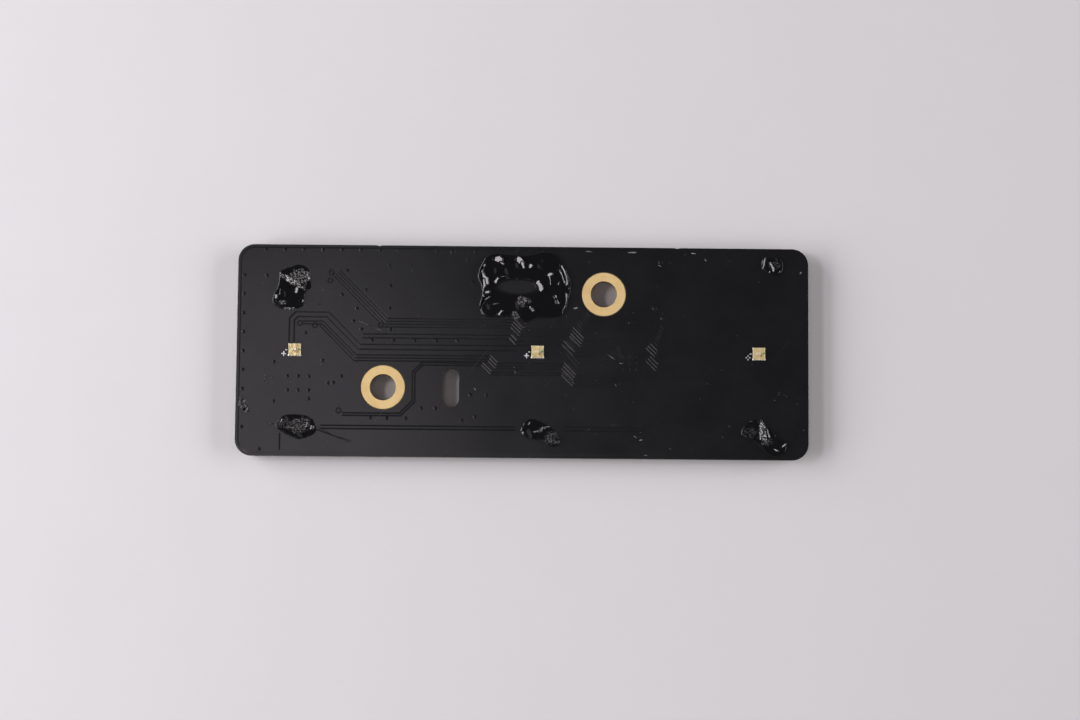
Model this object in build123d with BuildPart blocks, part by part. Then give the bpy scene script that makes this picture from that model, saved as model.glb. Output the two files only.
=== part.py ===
"""Led board: a slim printed circuit board with three RGB chip LEDs. Millimetres, +Z up.

The board lies on its low underside parts. The origin is at the middle of the board, on the
surface that it rests on: +X along the board, +Y across it, +Z out of the face with the LEDs.
"""

from build123d import *
from math import atan2, degrees, radians, tan
import os

os.makedirs("parts", exist_ok=True)

# Board
board_length = 70.0
board_width = 26.0
corner_radius = 2.0
laminate_thickness = 0.7
mask_thickness = 0.05
underside_height = 0.8  # the tallest parts under the board, on which it rests

# Plated screw holes and the routed slot
left_hole_inset = (17.95, 8.5)  # from the board's -X end and -Y edge
right_hole_inset = (25.12, 5.82)  # from the +X end and +Y edge
slot_offset = (8.25, 0.0)  # from the left hole
hole_radius = 1.6
hole_plating = 0.05
ring_radius = 2.66
ring_thickness = 0.035
ring_lead_in = 0.03
mask_clearance = 0.1
slot_width = 2.1
slot_length = 4.8

# Nicks that the panel's tabs left on the +Y edge
nick_places = (-17.7, 18.9)
nick_radius = 0.6
nick_depth = 0.09

# Relief of the copper under the coat
copper_inset = 0.3  # from the board's edge to the copper area
copper_relief = 0.02
shoulder_width = 0.15
groove_width = 0.2
groove_over = 1.25  # the cutters' height over the grooves' depth, so that they leave the face cleanly
pad_radius = 0.3
pad_sides = 8
pad_groove_floor = 0.03
via_radius = 0.17
via_rise = 0.012
via_slope = 81  # degrees from upright
via_sides = 6

# Chip LEDs, in a row along the middle of the board
first_led_inset = 7.1  # from the -X end
middle_led_x = 1.8
last_led_inset = 6.08  # from the +X end
led_width = 1.5  # along X
led_depth = 1.5  # along Y
led_base_thickness = 0.2
led_foil = 0.02
lens_height = 0.32
lens_inset = 0.04
lens_draft = 5.0  # degrees
lens_corner = 0.16
die_size = 0.24
die_height = 0.11
terminal_radius = 0.15  # corner castellations
terminal_facets = 8
side_terminal_radius = 0.09
side_terminal_facets = 6
side_terminal_pitch = 0.38
solder_proud = 0.08  # how far the joints stand out past the base
solder_rise = 0.18
solder_draft = 10.0  # degrees
electrode_corner = 0.4
electrode_inset = 0.14
electrode_strip = 0.34
strip_length = 0.84
mark_size = 0.22
mark_offset = (0.57, 0.03)
die_offsets = {"blue": (-0.26, 0.02), "green": (0.05, 0.02), "red": (0.26, -0.25)}
die_margin = 0.03

# Marks in white ink
ink_thickness = 0.02
plus_span = 0.66
dash_length = 0.32
ink_line = 0.15
plus_offset = (-1.33, -0.48)  # from the LED's middle
dash_offset = (-1.0, -0.01)

# Underside parts
connector_inset = (8.5, 7.6)  # from the board's -X end and +Y edge
connector_width = 2.6
connector_length = 7.0
connector_wall = 0.4
connector_chamfer = 0.13
connector_floor = 0.25
island_width = 0.8
island_gap = 0.8
contact_tail = 0.35
contact_tip = 0.12
contact_count = 8  # on each side
contact_pitch = 0.7
contact_width = 0.22
contact_foil = 0.12
driver_offset = (3.32, -8.38)  # from the right hole
driver_size = 4.0
driver_lead_height = 0.05
driver_lead_pitch = 0.5
driver_lead_count = 6  # on each side
driver_lead_width = 0.24
driver_lead_length = 0.4
driver_pad = 2.4
driver_edge = 0.06
driver_dot_radius = 0.2
driver_dot_offset = 1.33  # from the middle, both ways
driver_dot_depth = 0.05
capacitor_length = 1.6
capacitor_width = 0.8
capacitor_cap = 0.3
resistor_length = 1.0
resistor_width = 0.5
resistor_height = 0.35
resistor_cap = 0.2
end_cap_proud = 0.02  # end caps stand this much outside the body

# Levels and places that follow
half_length = board_length / 2
half_width = board_width / 2
board_bottom = underside_height
laminate_bottom = board_bottom + mask_thickness
laminate_top = laminate_bottom + laminate_thickness
board_top = laminate_top + mask_thickness
led_top = board_top + led_base_thickness
drill_radius = hole_radius + hole_plating
hole_places = {
    "left": (left_hole_inset[0] - half_length, left_hole_inset[1] - half_width),
    "right": (half_length - right_hole_inset[0], half_width - right_hole_inset[1]),
}
hole_x, hole_y = hole_places["left"]
slot_x, slot_y = hole_x + slot_offset[0], hole_y + slot_offset[1]
led_places = {
    1: (first_led_inset - half_length, 0.0),
    2: (middle_led_x, 0.0),
    3: (half_length - last_led_inset, 0.0),
}
led_1_x, led_2_x, led_3_x = (led_places[n][0] for n in (1, 2, 3))
connector_place = (connector_inset[0] - half_length, half_width - connector_inset[1])
driver_x = hole_places["right"][0] + driver_offset[0]
driver_y = hole_places["right"][1] + driver_offset[1]
electrode_places = [
    (sx * (led_width / 2 - electrode_inset - electrode_corner / 2),
     sy * (led_depth / 2 - electrode_inset - electrode_corner / 2))
    for sx in (-1, 1) for sy in (-1, 1)
]
capacitor_places = [
    (6.2 - half_length, 4.2 - half_width),
    (half_length - 5.6, 5.0 - half_width),
    (half_length - 5.6, half_width - 4.6),
    (driver_x - 5.2, driver_y - 4.6),
]
resistor_places = [(driver_x + 4.6, driver_y + k * 1.3) for k in (-1, 0, 1)]
terminal_corners = [(sx * led_width / 2, sy * led_depth / 2) for sx in (-1, 1) for sy in (-1, 1)]
side_terminals = [(k * side_terminal_pitch, sy * led_depth / 2) for k in (-1, 0, 1) for sy in (-1, 1)]


# ---------------------------------------------------------------- laminate and its coats


def board_outline():
    """The routed outline of the board, as a sketch on the current plane."""
    RectangleRounded(board_length, board_width, corner_radius)
    with Locations(*[(x, half_width - nick_depth + nick_radius) for x in nick_places]):
        Circle(nick_radius, mode=Mode.SUBTRACT)


def board_openings(radius, mode=Mode.SUBTRACT):
    """The two screw holes, of the given radius, and the slot."""
    with Locations(*hole_places.values()):
        Circle(radius, mode=mode)
    with Locations((slot_x, slot_y)):
        SlotOverall(slot_length, slot_width, rotation=90, mode=mode)


with BuildPart() as substrate:
    with BuildSketch(Plane.XY.offset(laminate_bottom)):
        board_outline()
        board_openings(drill_radius)
    extrude(amount=laminate_thickness)
substrate.part.label = "substrate"
export_step(substrate.part, "parts/substrate.step")

with BuildPart() as mask_bottom:
    with BuildSketch(Plane.XY.offset(board_bottom)):
        board_outline()
        board_openings(ring_radius + mask_clearance)
    extrude(amount=mask_thickness)
mask_bottom.part.label = "solder_mask_bottom"
export_step(mask_bottom.part, "parts/solder_mask_bottom.step")

# Bundles of tracks under the upper coat: how many run side by side, their pitch, and the route
# of the bundle's middle. Every bundle turns by 45 degrees.
tracks = [
    (3, 0.35, [(led_1_x + 5.05, 9.57), (led_1_x + 11.16, 3.46), (led_2_x - 3.1, 3.46), (led_2_x - 2.09, 2.45),
               (led_2_x + 4.1, 2.45), (led_2_x + 5.4, 1.15), (driver_x - 1.5, 1.15)]),
    (1, 0.60, [(led_1_x - 0.39, 0.95), (led_1_x - 0.39, 3.79), (led_1_x + 0.22, 4.4), (led_1_x + 4.06, 4.4),
               (led_1_x + 8.01, 0.45), (led_2_x - 2.6, 0.45)]),
    (1, 0.35, [(led_1_x + 0.95, 3.4), (led_1_x + 3.4, 3.4)]),
    (2, 0.35, [(led_1_x + 3.25, 3.33), (led_1_x + 7.48, -0.9), (led_2_x - 5.9, -0.9), (led_2_x - 5.05, -1.75),
               (led_2_x + 3.1, -1.75), (led_2_x + 4.55, -3.2), (driver_x + 0.6, -3.2)]),
    (1, 0.48, [(led_1_x + 8.3, 1.81), (led_2_x - 3.4, 1.81), (led_2_x - 2.67, 1.08), (led_2_x + 3.1, 1.08),
               (led_2_x + 4.4, -0.22), (driver_x - 2.4, -0.22)]),
    (1, 0.31, [(hole_x - 4.95, hole_y - 3.33), (hole_x + 2.13, hole_y - 3.33), (hole_x + 3.75, hole_y - 1.71),
               (hole_x + 3.75, hole_y + 1.86), (hole_x + 4.81, hole_y + 2.92), (slot_x + 3.8, hole_y + 2.92),
               (slot_x + 4.9, hole_y + 1.82), (led_2_x + 3.0, hole_y + 1.82), (led_2_x + 4.4, hole_y + 0.42),
               (driver_x - 1.2, hole_y + 0.42)]),
    (1, 0.39, [(led_1_x + 3.3, 3.58 - half_width), (led_2_x - 2.6, 3.58 - half_width)]),
    (1, 0.45, [(led_2_x + 3.5, 3.58 - half_width), (driver_x + 1.7, 3.58 - half_width),
               (driver_x + 3.0, 4.88 - half_width), (driver_x + 12.0, 4.88 - half_width)]),
    (2, 0.38, [(driver_x + 2.1, 0.85), (driver_x + 3.1, -0.15), (led_3_x - 2.6, -0.15)]),
    (2, 0.38, [(driver_x + 2.1, -0.75), (driver_x + 3.2, -1.85), (led_3_x - 4.3, -1.85)]),
    (1, 0.38, [(driver_x + 1.8, -2.9), (led_3_x - 6.0, -2.9)]),
]
# Edges of the copper area, each a single groove
copper_edges = [
    [(led_1_x - 1.63, 2.8 - half_width), (led_1_x - 1.63, 0.7 - half_width)],
    [(driver_x - 3.0, driver_y + 4.75), (driver_x + 2.6, driver_y + 4.75)],
]
# Filled vias: along two edges (one lies under a residue), in rows and groups, and one by one by
# what they are near
edge_via_pitch = 2.33
edge_via_inset = 0.62
end_via_inset = 0.8
row_via_pitch = 2.62
group_via_pitch = (1.3, 1.7)
driver_via_pitch = 0.8
via_places = [(3.4 - half_length + k * edge_via_pitch, half_width - edge_via_inset) for k in range(12)]
via_places += [(end_via_inset - half_length, half_width - 3.85 - k * edge_via_pitch) for k in range(9) if k != 7]
via_places += [(led_1_x - 0.8 + k * group_via_pitch[0], -3.25 - j * group_via_pitch[1])
               for k in range(3) for j in range(2)]
via_places += [(led_1_x + 9.45 + k * row_via_pitch, 1.25) for k in range(5)]
via_places += [(driver_x + k * driver_via_pitch, driver_y + j * driver_via_pitch)
               for k in (-1, 0, 1) for j in (-1, 0, 1)]
via_places += [(x - half_length, half_width - y) for x, y in (
    (3.55, 3.85), (12.8, 6.15), (15.7, 5.55), (18.7, 5.0), (18.6, 2.5), (18.65, 7.8), (14.65, 7.85), (13.4, 3.2))]
via_places += [(x - half_length, y - half_width) for x, y in ((3.0, 0.8), (4.65, 6.65), (8.9, 7.0))]
via_places += [(led_1_x + x, y) for x, y in (
    (1.3, 2.1), (7.15, 3.6), (8.15, 2.6), (11.7, 2.6), (-2.5, -1.5), (3.45, -1.3))]
via_places += [(hole_x + x, hole_y + y) for x, y in (
    (-6.05, 0.5), (-6.7, 0.45), (-5.1, 1.3), (-1.5, -3.75), (0.5, -3.8), (2.85, -3.8), (4.7, -2.55), (6.45, -2.55),
    (9.7, -4.0), (11.3, -3.55), (10.7, -0.85), (12.65, -0.85))]
via_places += [(led_2_x + x, half_width - y) for x, y in ((-8.65, 1.65), (-10.55, 0.7), (-8.0, 4.5))]
via_places += [(driver_x + x, driver_y + y) for x, y in (
    (-0.1, 4.95), (2.9, 6.7), (3.9, 5.5), (-1.6, -2.8), (-2.0, -7.65), (3.6, 12.4), (-13.9, -1.2))]
# Pads at the tracks' ends, each ringed by a groove
ringed_pads = [(led_1_x + x, y) for x, y in ((0.6, 3.3), (2.45, 3.05), (4.25, 8.6), (4.4, 9.6), (10.5, 3.15))]
ringed_pads += [(hole_x - 5.35, hole_y - 2.9)]


def beside(route, shift):
    """The route moved sideways by shift, with its 45 degree corners mitred."""
    corner = shift * tan(radians(22.5))
    moved = []
    for i, point in enumerate(route):
        here = Vector(*point)
        into = (here - Vector(*route[i - 1])).normalized() if i else None
        out = (Vector(*route[i + 1]) - here).normalized() if i < len(route) - 1 else into
        into = into or out
        turn = into.X * out.Y - into.Y * out.X
        along = -corner if turn > 0.01 else corner if turn < -0.01 else 0.0
        moved.append(here + Vector(-into.Y, into.X) * shift + into * along)
    return [(p.X, p.Y) for p in moved]


def groove(route):
    """A cutter for a V-shaped groove in the coat's upper face along a route of straight runs."""
    with BuildPart() as cutter:
        with BuildLine(Plane.XY.offset(board_top)) as line:
            Polyline(*route)
        run = line.line % 0
        half = groove_width / 2 * groove_over
        with BuildSketch(Plane(line.line @ 0, x_dir=(-run.Y, run.X, 0), z_dir=run)):
            with BuildLine():
                Polyline((-half, copper_relief * (groove_over - 1)), (0, -copper_relief),
                         (half, copper_relief * (groove_over - 1)), close=True)
            make_face()
        sweep(transition=Transition.RIGHT)
    return cutter.part


grooves = [groove(route) for route in copper_edges]
for count, pitch, route in tracks:
    for k in range(count + 1):
        grooves.append(groove(beside(route, (k - count / 2) * pitch)))

groove_slope = degrees(atan2((groove_width - pad_groove_floor) / 2, copper_relief))
with BuildPart() as pad_groove:
    with BuildSketch(Plane.XY.offset(-copper_relief)):
        RegularPolygon(pad_radius + pad_groove_floor / 2, pad_sides)
        RegularPolygon(pad_radius - pad_groove_floor / 2, pad_sides, mode=Mode.SUBTRACT)
    extrude(amount=copper_relief * groove_over, taper=-groove_slope)

with BuildPart() as via:
    with BuildSketch(Plane.XY):
        RegularPolygon(via_radius, via_sides)
    extrude(amount=via_rise, taper=via_slope)

with BuildPart() as mask_top:
    with BuildSketch(Plane.XY.offset(laminate_top)):
        board_outline()
    extrude(amount=mask_thickness - copper_relief)
    with BuildSketch(Plane.XY.offset(board_top - copper_relief)):
        RectangleRounded(board_length - 2 * copper_inset, board_width - 2 * copper_inset,
                         corner_radius - copper_inset)
    with BuildSketch(Plane.XY.offset(board_top)):
        flat_inset = copper_inset + shoulder_width
        RectangleRounded(board_length - 2 * flat_inset, board_width - 2 * flat_inset,
                         corner_radius - flat_inset)
    loft()
    with BuildSketch(Plane.XY.offset(laminate_top)):
        board_openings(ring_radius + mask_clearance, mode=Mode.ADD)
    extrude(amount=mask_thickness, mode=Mode.SUBTRACT)
    add(grooves, mode=Mode.SUBTRACT)
    with Locations(*[(x, y, board_top) for x, y in ringed_pads]):
        add(pad_groove.part, mode=Mode.SUBTRACT)
    with Locations(*[(x, y, board_top) for x, y in via_places]):
        add(via.part)
mask_top.part.label = "solder_mask_top"
export_step(mask_top.part, "parts/solder_mask_top.step")


# ---------------------------------------------------------------- plated screw holes

for side, (x, y) in hole_places.items():
    bottom = laminate_bottom - ring_thickness
    top = laminate_top + ring_thickness
    with BuildPart() as ring:
        with BuildSketch(Plane((x, y, 0), x_dir=(1, 0, 0), z_dir=(0, -1, 0))):
            with BuildLine():
                Polyline(
                    (hole_radius, bottom + ring_lead_in),
                    (hole_radius, top - ring_lead_in),
                    (hole_radius + ring_lead_in, top),
                    (ring_radius, top),
                    (ring_radius, laminate_top),
                    (drill_radius, laminate_top),
                    (drill_radius, laminate_bottom),
                    (ring_radius, laminate_bottom),
                    (ring_radius, bottom),
                    (hole_radius + ring_lead_in, bottom),
                    close=True,
                )
            make_face()
        revolve(axis=Axis((x, y, 0), (0, 0, 1)))
    ring.part.label = f"ring_{side}"
    export_step(ring.part, f"parts/ring_{side}.step")


# ---------------------------------------------------------------- LEDs


def led_outline():
    """The LED's base seen from above, with its castellations cut out."""
    Rectangle(led_width, led_depth)
    with Locations(*terminal_corners):
        RegularPolygon(terminal_radius, terminal_facets, mode=Mode.SUBTRACT)
    with Locations(*side_terminals):
        RegularPolygon(side_terminal_radius, side_terminal_facets, mode=Mode.SUBTRACT)


for n, (x, y) in led_places.items():
    with BuildPart() as led_base:
        with BuildSketch(Plane((x, y, board_top))):
            led_outline()
        extrude(amount=led_base_thickness)
    led_base.part.label = f"led_{n}_base"
    export_step(led_base.part, f"parts/led_{n}_base.step")

    with BuildPart() as electrodes:
        with BuildSketch(Plane((x, y, led_top))):
            Rectangle(strip_length, electrode_strip)
            with Locations(*electrode_places):
                Rectangle(electrode_corner, electrode_corner)
            with Locations(die_offsets["red"]):
                Rectangle(die_size + 2 * die_margin, die_size + 2 * die_margin)
        extrude(amount=led_foil)
    electrodes.part.label = f"led_{n}_electrodes"
    export_step(electrodes.part, f"parts/led_{n}_electrodes.step")

    with BuildPart() as mark:
        with BuildSketch(Plane((x + mark_offset[0], y + mark_offset[1], led_top))):
            Rectangle(mark_size, mark_size)
        extrude(amount=led_foil)
    mark.part.label = f"led_{n}_polarity_mark"
    export_step(mark.part, f"parts/led_{n}_polarity_mark.step")

    with BuildPart() as dies:
        with BuildSketch(Plane((x, y, led_top + led_foil))):
            with Locations(*die_offsets.values()):
                Rectangle(die_size, die_size)
        extrude(amount=die_height)
    dies.part.label = f"led_{n}_dies"
    export_step(dies.part, f"parts/led_{n}_dies.step")

    with BuildPart() as lens:
        with BuildSketch(Plane((x, y, led_top))):
            Rectangle(led_width - 2 * lens_inset, led_depth - 2 * lens_inset)
            chamfer(vertices(), lens_corner)
        extrude(amount=lens_height, taper=lens_draft)
        add([electrodes.part, mark.part, dies.part], mode=Mode.SUBTRACT)
    lens.part.label = f"led_{n}_lens"
    export_step(lens.part, f"parts/led_{n}_lens.step")

    with BuildPart() as solder:
        with BuildSketch(Plane((x, y, board_top))):
            with Locations(*terminal_corners):
                RegularPolygon(terminal_radius, terminal_facets)
            with Locations(*side_terminals):
                RegularPolygon(side_terminal_radius, side_terminal_facets)
            Rectangle(led_width + 2 * solder_proud, led_depth + 2 * solder_proud, mode=Mode.INTERSECT)
        extrude(amount=solder_rise, taper=solder_draft)
    solder.part.label = f"led_{n}_solder"
    export_step(solder.part, f"parts/led_{n}_solder.step")


# ---------------------------------------------------------------- white ink

with BuildPart() as silkscreen:
    with BuildSketch(Plane.XY.offset(board_top)):
        with Locations(*[(x + plus_offset[0], y + plus_offset[1]) for x, y in led_places.values()]):
            Rectangle(plus_span, ink_line)
            Rectangle(ink_line, plus_span)
        with Locations(*[(x + dash_offset[0], y + dash_offset[1]) for x, y in led_places.values()]):
            Rectangle(dash_length, ink_line)
    extrude(amount=ink_thickness)
silkscreen.part.label = "silkscreen"
export_step(silkscreen.part, "parts/silkscreen.step")


# ---------------------------------------------------------------- torn adhesive

ring_x = hole_places["right"][0]
# Each residue: the place of its middle, its height, its top's share of its foot's size, and
# the outline of its foot from that place, drawn as one closed curve.
residues = {
    "upper_left": (
        (6.6 - half_length, half_width - 5.2), 0.6, 0.8,
        [(1.0, 2.85), (2.1, 2.1), (2.4, 1.0), (2.5, 0.0), (1.75, -1.0), (1.55, -2.4), (0.6, -2.95),
         (-1.5, -2.85), (-2.45, -1.9), (-1.95, -0.5), (-1.6, 0.9), (-1.5, 2.0), (-0.2, 2.45)],
    ),
    "lower_left": (
        (7.5 - half_length, 3.6 - half_width), 0.5, 0.8,
        [(-2.6, 0.5), (-1.9, 1.2), (0.2, 1.55), (1.6, 1.2), (2.45, 0.2), (2.4, -0.7), (1.4, -1.3),
         (0.4, -1.65), (-0.6, -1.3), (-1.8, -0.75), (-2.5, -0.2)],
    ),
    "upper_middle": (
        (ring_x - 9.68, half_width - 4.9), 0.75, 0.92,
        [(-6.0, 1.6), (-5.5, 3.0), (-4.4, 4.0), (-2.0, 4.0), (0.8, 4.0), (3.1, 4.3), (4.6, 3.2),
         (5.5, 1.3), (5.8, -0.3), (5.4, -2.3), (4.7, -3.6), (3.2, -4.1), (1.2, -4.2), (0.0, -4.6),
         (-1.4, -4.1), (-3.6, -4.0), (-5.3, -3.7), (-5.7, -2.4), (-5.4, -0.7)],
    ),
    "lower_middle": (
        (2.1, 3.3 - half_width), 0.5, 0.8,
        [(-2.45, 0.2), (-2.0, 0.9), (-1.2, 1.6), (-0.3, 1.4), (0.8, 0.9), (1.6, 0.4), (2.3, -0.5),
         (2.7, -1.3), (2.1, -1.9), (1.0, -1.8), (0.4, -1.2), (-0.9, -1.1), (-2.0, -0.6)],
    ),
    "upper_right": (
        (half_length - 4.5, half_width - 2.1), 0.4, 0.8,
        [(-1.3, 0.4), (-0.9, 1.1), (0.0, 1.1), (0.9, 1.15), (1.35, 0.5), (1.35, -0.6), (0.8, -1.25),
         (-0.2, -1.1), (-1.1, -0.5)],
    ),
    "lower_right": (
        (half_length - 5.4, 2.8 - half_width), 0.55, 0.8,
        [(-3.0, 0.5), (-2.4, 1.6), (-1.6, 2.1), (-0.4, 2.25), (0.3, 1.4), (1.1, 0.7), (1.7, -0.2),
         (2.8, -0.7), (2.7, -1.4), (2.2, -2.2), (1.3, -2.5), (0.2, -2.0), (-0.7, -1.1), (-2.0, -0.3)],
    ),
    "left_edge": (
        (1.0 - half_length, 6.2 - half_width), 0.08, 0.9,
        [(-0.6, 0.5), (-0.2, 0.95), (0.25, 0.35), (0.8, -0.6), (0.65, -1.1), (0.0, -0.8), (-0.5, -0.3)],
    ),
}
# The flat bed left in the thick residue by the part that was pulled off it
bed_offset = (-0.75, 0.0)
bed_size = (3.9, 1.9)
bed_radius = 0.5
bed_depth = 0.35
bed_draft = 30.0  # degrees
# The thread drawn out of the lower left residue, from its middle
thread_width = 0.14
thread_height = 0.1
thread_route = [(1.9, -0.1), (3.9, -0.85), (5.3, -1.45), (6.7, -2.05)]

for name, (place, height, crown, outline) in residues.items():
    with BuildPart() as residue:
        for level, share in ((0, 1), (height, crown)):
            with BuildSketch(Plane((*place, board_top + level))):
                with BuildLine():
                    Spline(*[(x * share, y * share) for x, y in outline], periodic=True)
                make_face()
        loft()
        if name == "upper_middle":
            with BuildSketch(Plane((*place, board_top + height))):
                with Locations(bed_offset):
                    RectangleRounded(*bed_size, bed_radius)
            extrude(amount=-bed_depth, taper=bed_draft, mode=Mode.SUBTRACT)
        if name == "lower_left":
            with BuildLine(Plane((*place, board_top))) as thread:
                Polyline(*thread_route)
            run = thread.line % 0
            with BuildSketch(Plane(thread.line @ 0, x_dir=(-run.Y, run.X, 0), z_dir=run)):
                with BuildLine():
                    Polyline((-thread_width / 2, 0), (0, thread_height), (thread_width / 2, 0), close=True)
                make_face()
            sweep(transition=Transition.RIGHT)
    residue.part.label = f"adhesive_{name}"
    export_step(residue.part, f"parts/adhesive_{name}.step")


# ---------------------------------------------------------------- connector, under the board

contact_places = [
    (0, connector_place[1] + (k - (contact_count - 1) / 2) * contact_pitch) for k in range(contact_count)
]
cavity_half = connector_width / 2 - connector_wall
with BuildPart() as contacts:
    for _, y in contact_places:
        for way in (-1, 1):
            with BuildSketch(Plane((connector_place[0], y, 0), x_dir=(way, 0, 0), z_dir=(0, -way, 0))):
                with BuildLine():
                    Polyline(
                        (connector_width / 2 + contact_tail, board_bottom),
                        (cavity_half - contact_foil, board_bottom),
                        (cavity_half - contact_foil, contact_tip),
                        (cavity_half, contact_tip),
                        (cavity_half, board_bottom - contact_foil),
                        (connector_width / 2 + contact_tail, board_bottom - contact_foil),
                        close=True,
                    )
                make_face()
            extrude(amount=contact_width / 2, both=True)
contacts.part.label = "connector_contacts"
export_step(contacts.part, "parts/connector_contacts.step")

with BuildPart() as housing:
    with BuildSketch(Plane((*connector_place, 0))):
        Rectangle(connector_width, connector_length)
    extrude(amount=underside_height)
    chamfer(housing.edges().filter_by(Axis.Z), connector_chamfer)
    with BuildSketch(Plane((*connector_place, 0))):
        Rectangle(2 * cavity_half, connector_length - 2 * connector_wall)
        Rectangle(island_width, connector_length - 2 * connector_wall - island_gap, mode=Mode.SUBTRACT)
    extrude(amount=underside_height - connector_floor, mode=Mode.SUBTRACT)
    add(contacts.part, mode=Mode.SUBTRACT)
housing.part.label = "connector_housing"
export_step(housing.part, "parts/connector_housing.step")


# ---------------------------------------------------------------- LED driver, under the board

driver_seat = board_bottom - driver_lead_height
with BuildPart() as driver:
    with BuildSketch(Plane((driver_x, driver_y, 0))):
        Rectangle(driver_size, driver_size)
    extrude(amount=driver_seat)
    chamfer(driver.edges().group_by(Axis.Z)[0], driver_edge)
    with BuildSketch(Plane((driver_x - driver_dot_offset, driver_y + driver_dot_offset, 0))):
        Circle(driver_dot_radius)
    extrude(amount=driver_dot_depth, mode=Mode.SUBTRACT)
driver.part.label = "driver_body"
export_step(driver.part, "parts/driver_body.step")

with BuildPart() as driver_leads:
    with BuildSketch(Plane((driver_x, driver_y, driver_seat))):
        Rectangle(driver_pad, driver_pad)
        for turn in range(4):
            with Locations(Rotation(0, 0, 90 * turn)):
                with Locations((driver_size / 2 - driver_lead_length / 2, 0)):
                    with GridLocations(0, driver_lead_pitch, 1, driver_lead_count):
                        Rectangle(driver_lead_length, driver_lead_width)
    extrude(amount=driver_lead_height)
driver_leads.part.label = "driver_leads"
export_step(driver_leads.part, "parts/driver_leads.step")


# ---------------------------------------------------------------- capacitors and resistors

chips = {}
for k, (x, y) in enumerate(capacitor_places, 1):
    chips[f"capacitor_{k}"] = (x, y, capacitor_length, capacitor_width, underside_height, capacitor_cap)
for k, (x, y) in enumerate(resistor_places, 1):
    chips[f"resistor_{k}"] = (x, y, resistor_length, resistor_width, resistor_height, resistor_cap)

for name, (x, y, length, width, height, cap) in chips.items():
    middle = board_bottom - height / 2
    with BuildPart() as body:
        with Locations((x, y, middle)):
            Box(length - 2 * end_cap_proud, width - 2 * end_cap_proud, height - 2 * end_cap_proud)
    body.part.label = f"{name}_body"
    export_step(body.part, f"parts/{name}_body.step")

    with BuildPart() as caps:
        with Locations((x, y, middle)):
            Box(length, width, height)
            chamfer(caps.edges(), end_cap_proud)
            Box(length - 2 * cap, width, height, mode=Mode.SUBTRACT)
        add(body.part, mode=Mode.SUBTRACT)
    caps.part.label = f"{name}_caps"
    export_step(caps.part, f"parts/{name}_caps.step")
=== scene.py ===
"""Led board: finishes, torn adhesive, beads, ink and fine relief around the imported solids.

Sizes are in metres unless a name says mm. The board's frame is kept: +X along the board,
+Y across it, +Z out of the face with the LEDs, and z = 0 where it rests.
"""

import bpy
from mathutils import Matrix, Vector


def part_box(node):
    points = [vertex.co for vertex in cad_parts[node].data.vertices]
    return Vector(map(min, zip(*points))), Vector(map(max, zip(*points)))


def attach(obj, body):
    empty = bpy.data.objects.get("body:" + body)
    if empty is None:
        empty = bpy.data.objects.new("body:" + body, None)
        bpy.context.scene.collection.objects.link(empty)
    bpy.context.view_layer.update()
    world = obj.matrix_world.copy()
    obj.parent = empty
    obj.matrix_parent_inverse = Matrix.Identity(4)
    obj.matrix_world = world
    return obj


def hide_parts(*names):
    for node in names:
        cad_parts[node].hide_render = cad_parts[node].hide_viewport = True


bl_info = {
    "name": "Led Board Finish",
    "version": (1, 0, 0),
    "blender": (4, 5, 0),
    "location": "View3D > Sidebar > Led Board",
    "description": "Finishes a slim printed circuit board with three chip LEDs",
    "category": "Object",
}

from math import cos, hypot, pi, radians, sin, tan

import bmesh
import bpy
import numpy as np
from bpy.props import FloatProperty, FloatVectorProperty, PointerProperty
from mathutils import Matrix, Vector

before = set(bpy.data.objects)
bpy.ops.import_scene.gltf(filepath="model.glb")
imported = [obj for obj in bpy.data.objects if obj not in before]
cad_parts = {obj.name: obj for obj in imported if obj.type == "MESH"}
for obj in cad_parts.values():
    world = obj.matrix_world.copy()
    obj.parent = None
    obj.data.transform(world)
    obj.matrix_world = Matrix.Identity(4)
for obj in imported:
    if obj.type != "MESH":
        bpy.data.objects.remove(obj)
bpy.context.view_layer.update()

MM = 0.001
LEDS = (1, 2, 3)
HOLES = ("left", "right")


# ---------------------------------------------------------------- places, read from the frame


def node_points(name):
    """The corners of a CAD node as an array, one row each."""
    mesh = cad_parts[name].data
    points = np.empty(len(mesh.vertices) * 3, np.float32)
    mesh.vertices.foreach_get("co", points)
    return points.reshape(-1, 3).astype(float)


def node_box(name):
    """The lowest and highest corner of a CAD node, as arrays."""
    low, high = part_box(name)
    return np.array(low), np.array(high)


def node_middle(name):
    """The middle of a CAD node's box in plan."""
    low, high = node_box(name)
    return (low[:2] + high[:2]) / 2


BOARD_TOP = node_box("led_1_base")[0][2]


def via_places():
    """The middles of the via bumps: the highest corners of the upper coat, gathered into groups
    that lie within a bump's width of each other, and the mean of each group."""
    bump_width = 0.25 * MM
    points = node_points("solder_mask_top")
    tops = np.unique(points[points[:, 2] > points[:, 2].max() - 0.002 * MM][:, :2].round(7), axis=0)
    apart = np.hypot(*(tops[:, None] - tops[None]).transpose(2, 0, 1))
    group = (apart < bump_width).argmax(axis=1)
    return np.array([tops[group == g].mean(axis=0) for g in np.unique(group)])


# ---------------------------------------------------------------- meshes from arrays


def grid_quads(rows, columns, closed=False):
    """Quads between neighbouring points of a grid stored row by row. Closed joins the last
    column to the first."""
    row = np.arange(rows - 1)[:, None] * columns
    column = np.arange(columns if closed else columns - 1)[None]
    beside = (column + 1) % columns
    corners = (row + column, row + beside, row + columns + beside, row + columns + column)
    return np.stack(corners, axis=-1).reshape(-1, 4)


def fan(centre, ring):
    """Triangles from one point to each pair of neighbours on a closed ring."""
    return np.stack([np.full(len(ring), centre), ring, np.roll(ring, -1)], axis=-1)


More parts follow.
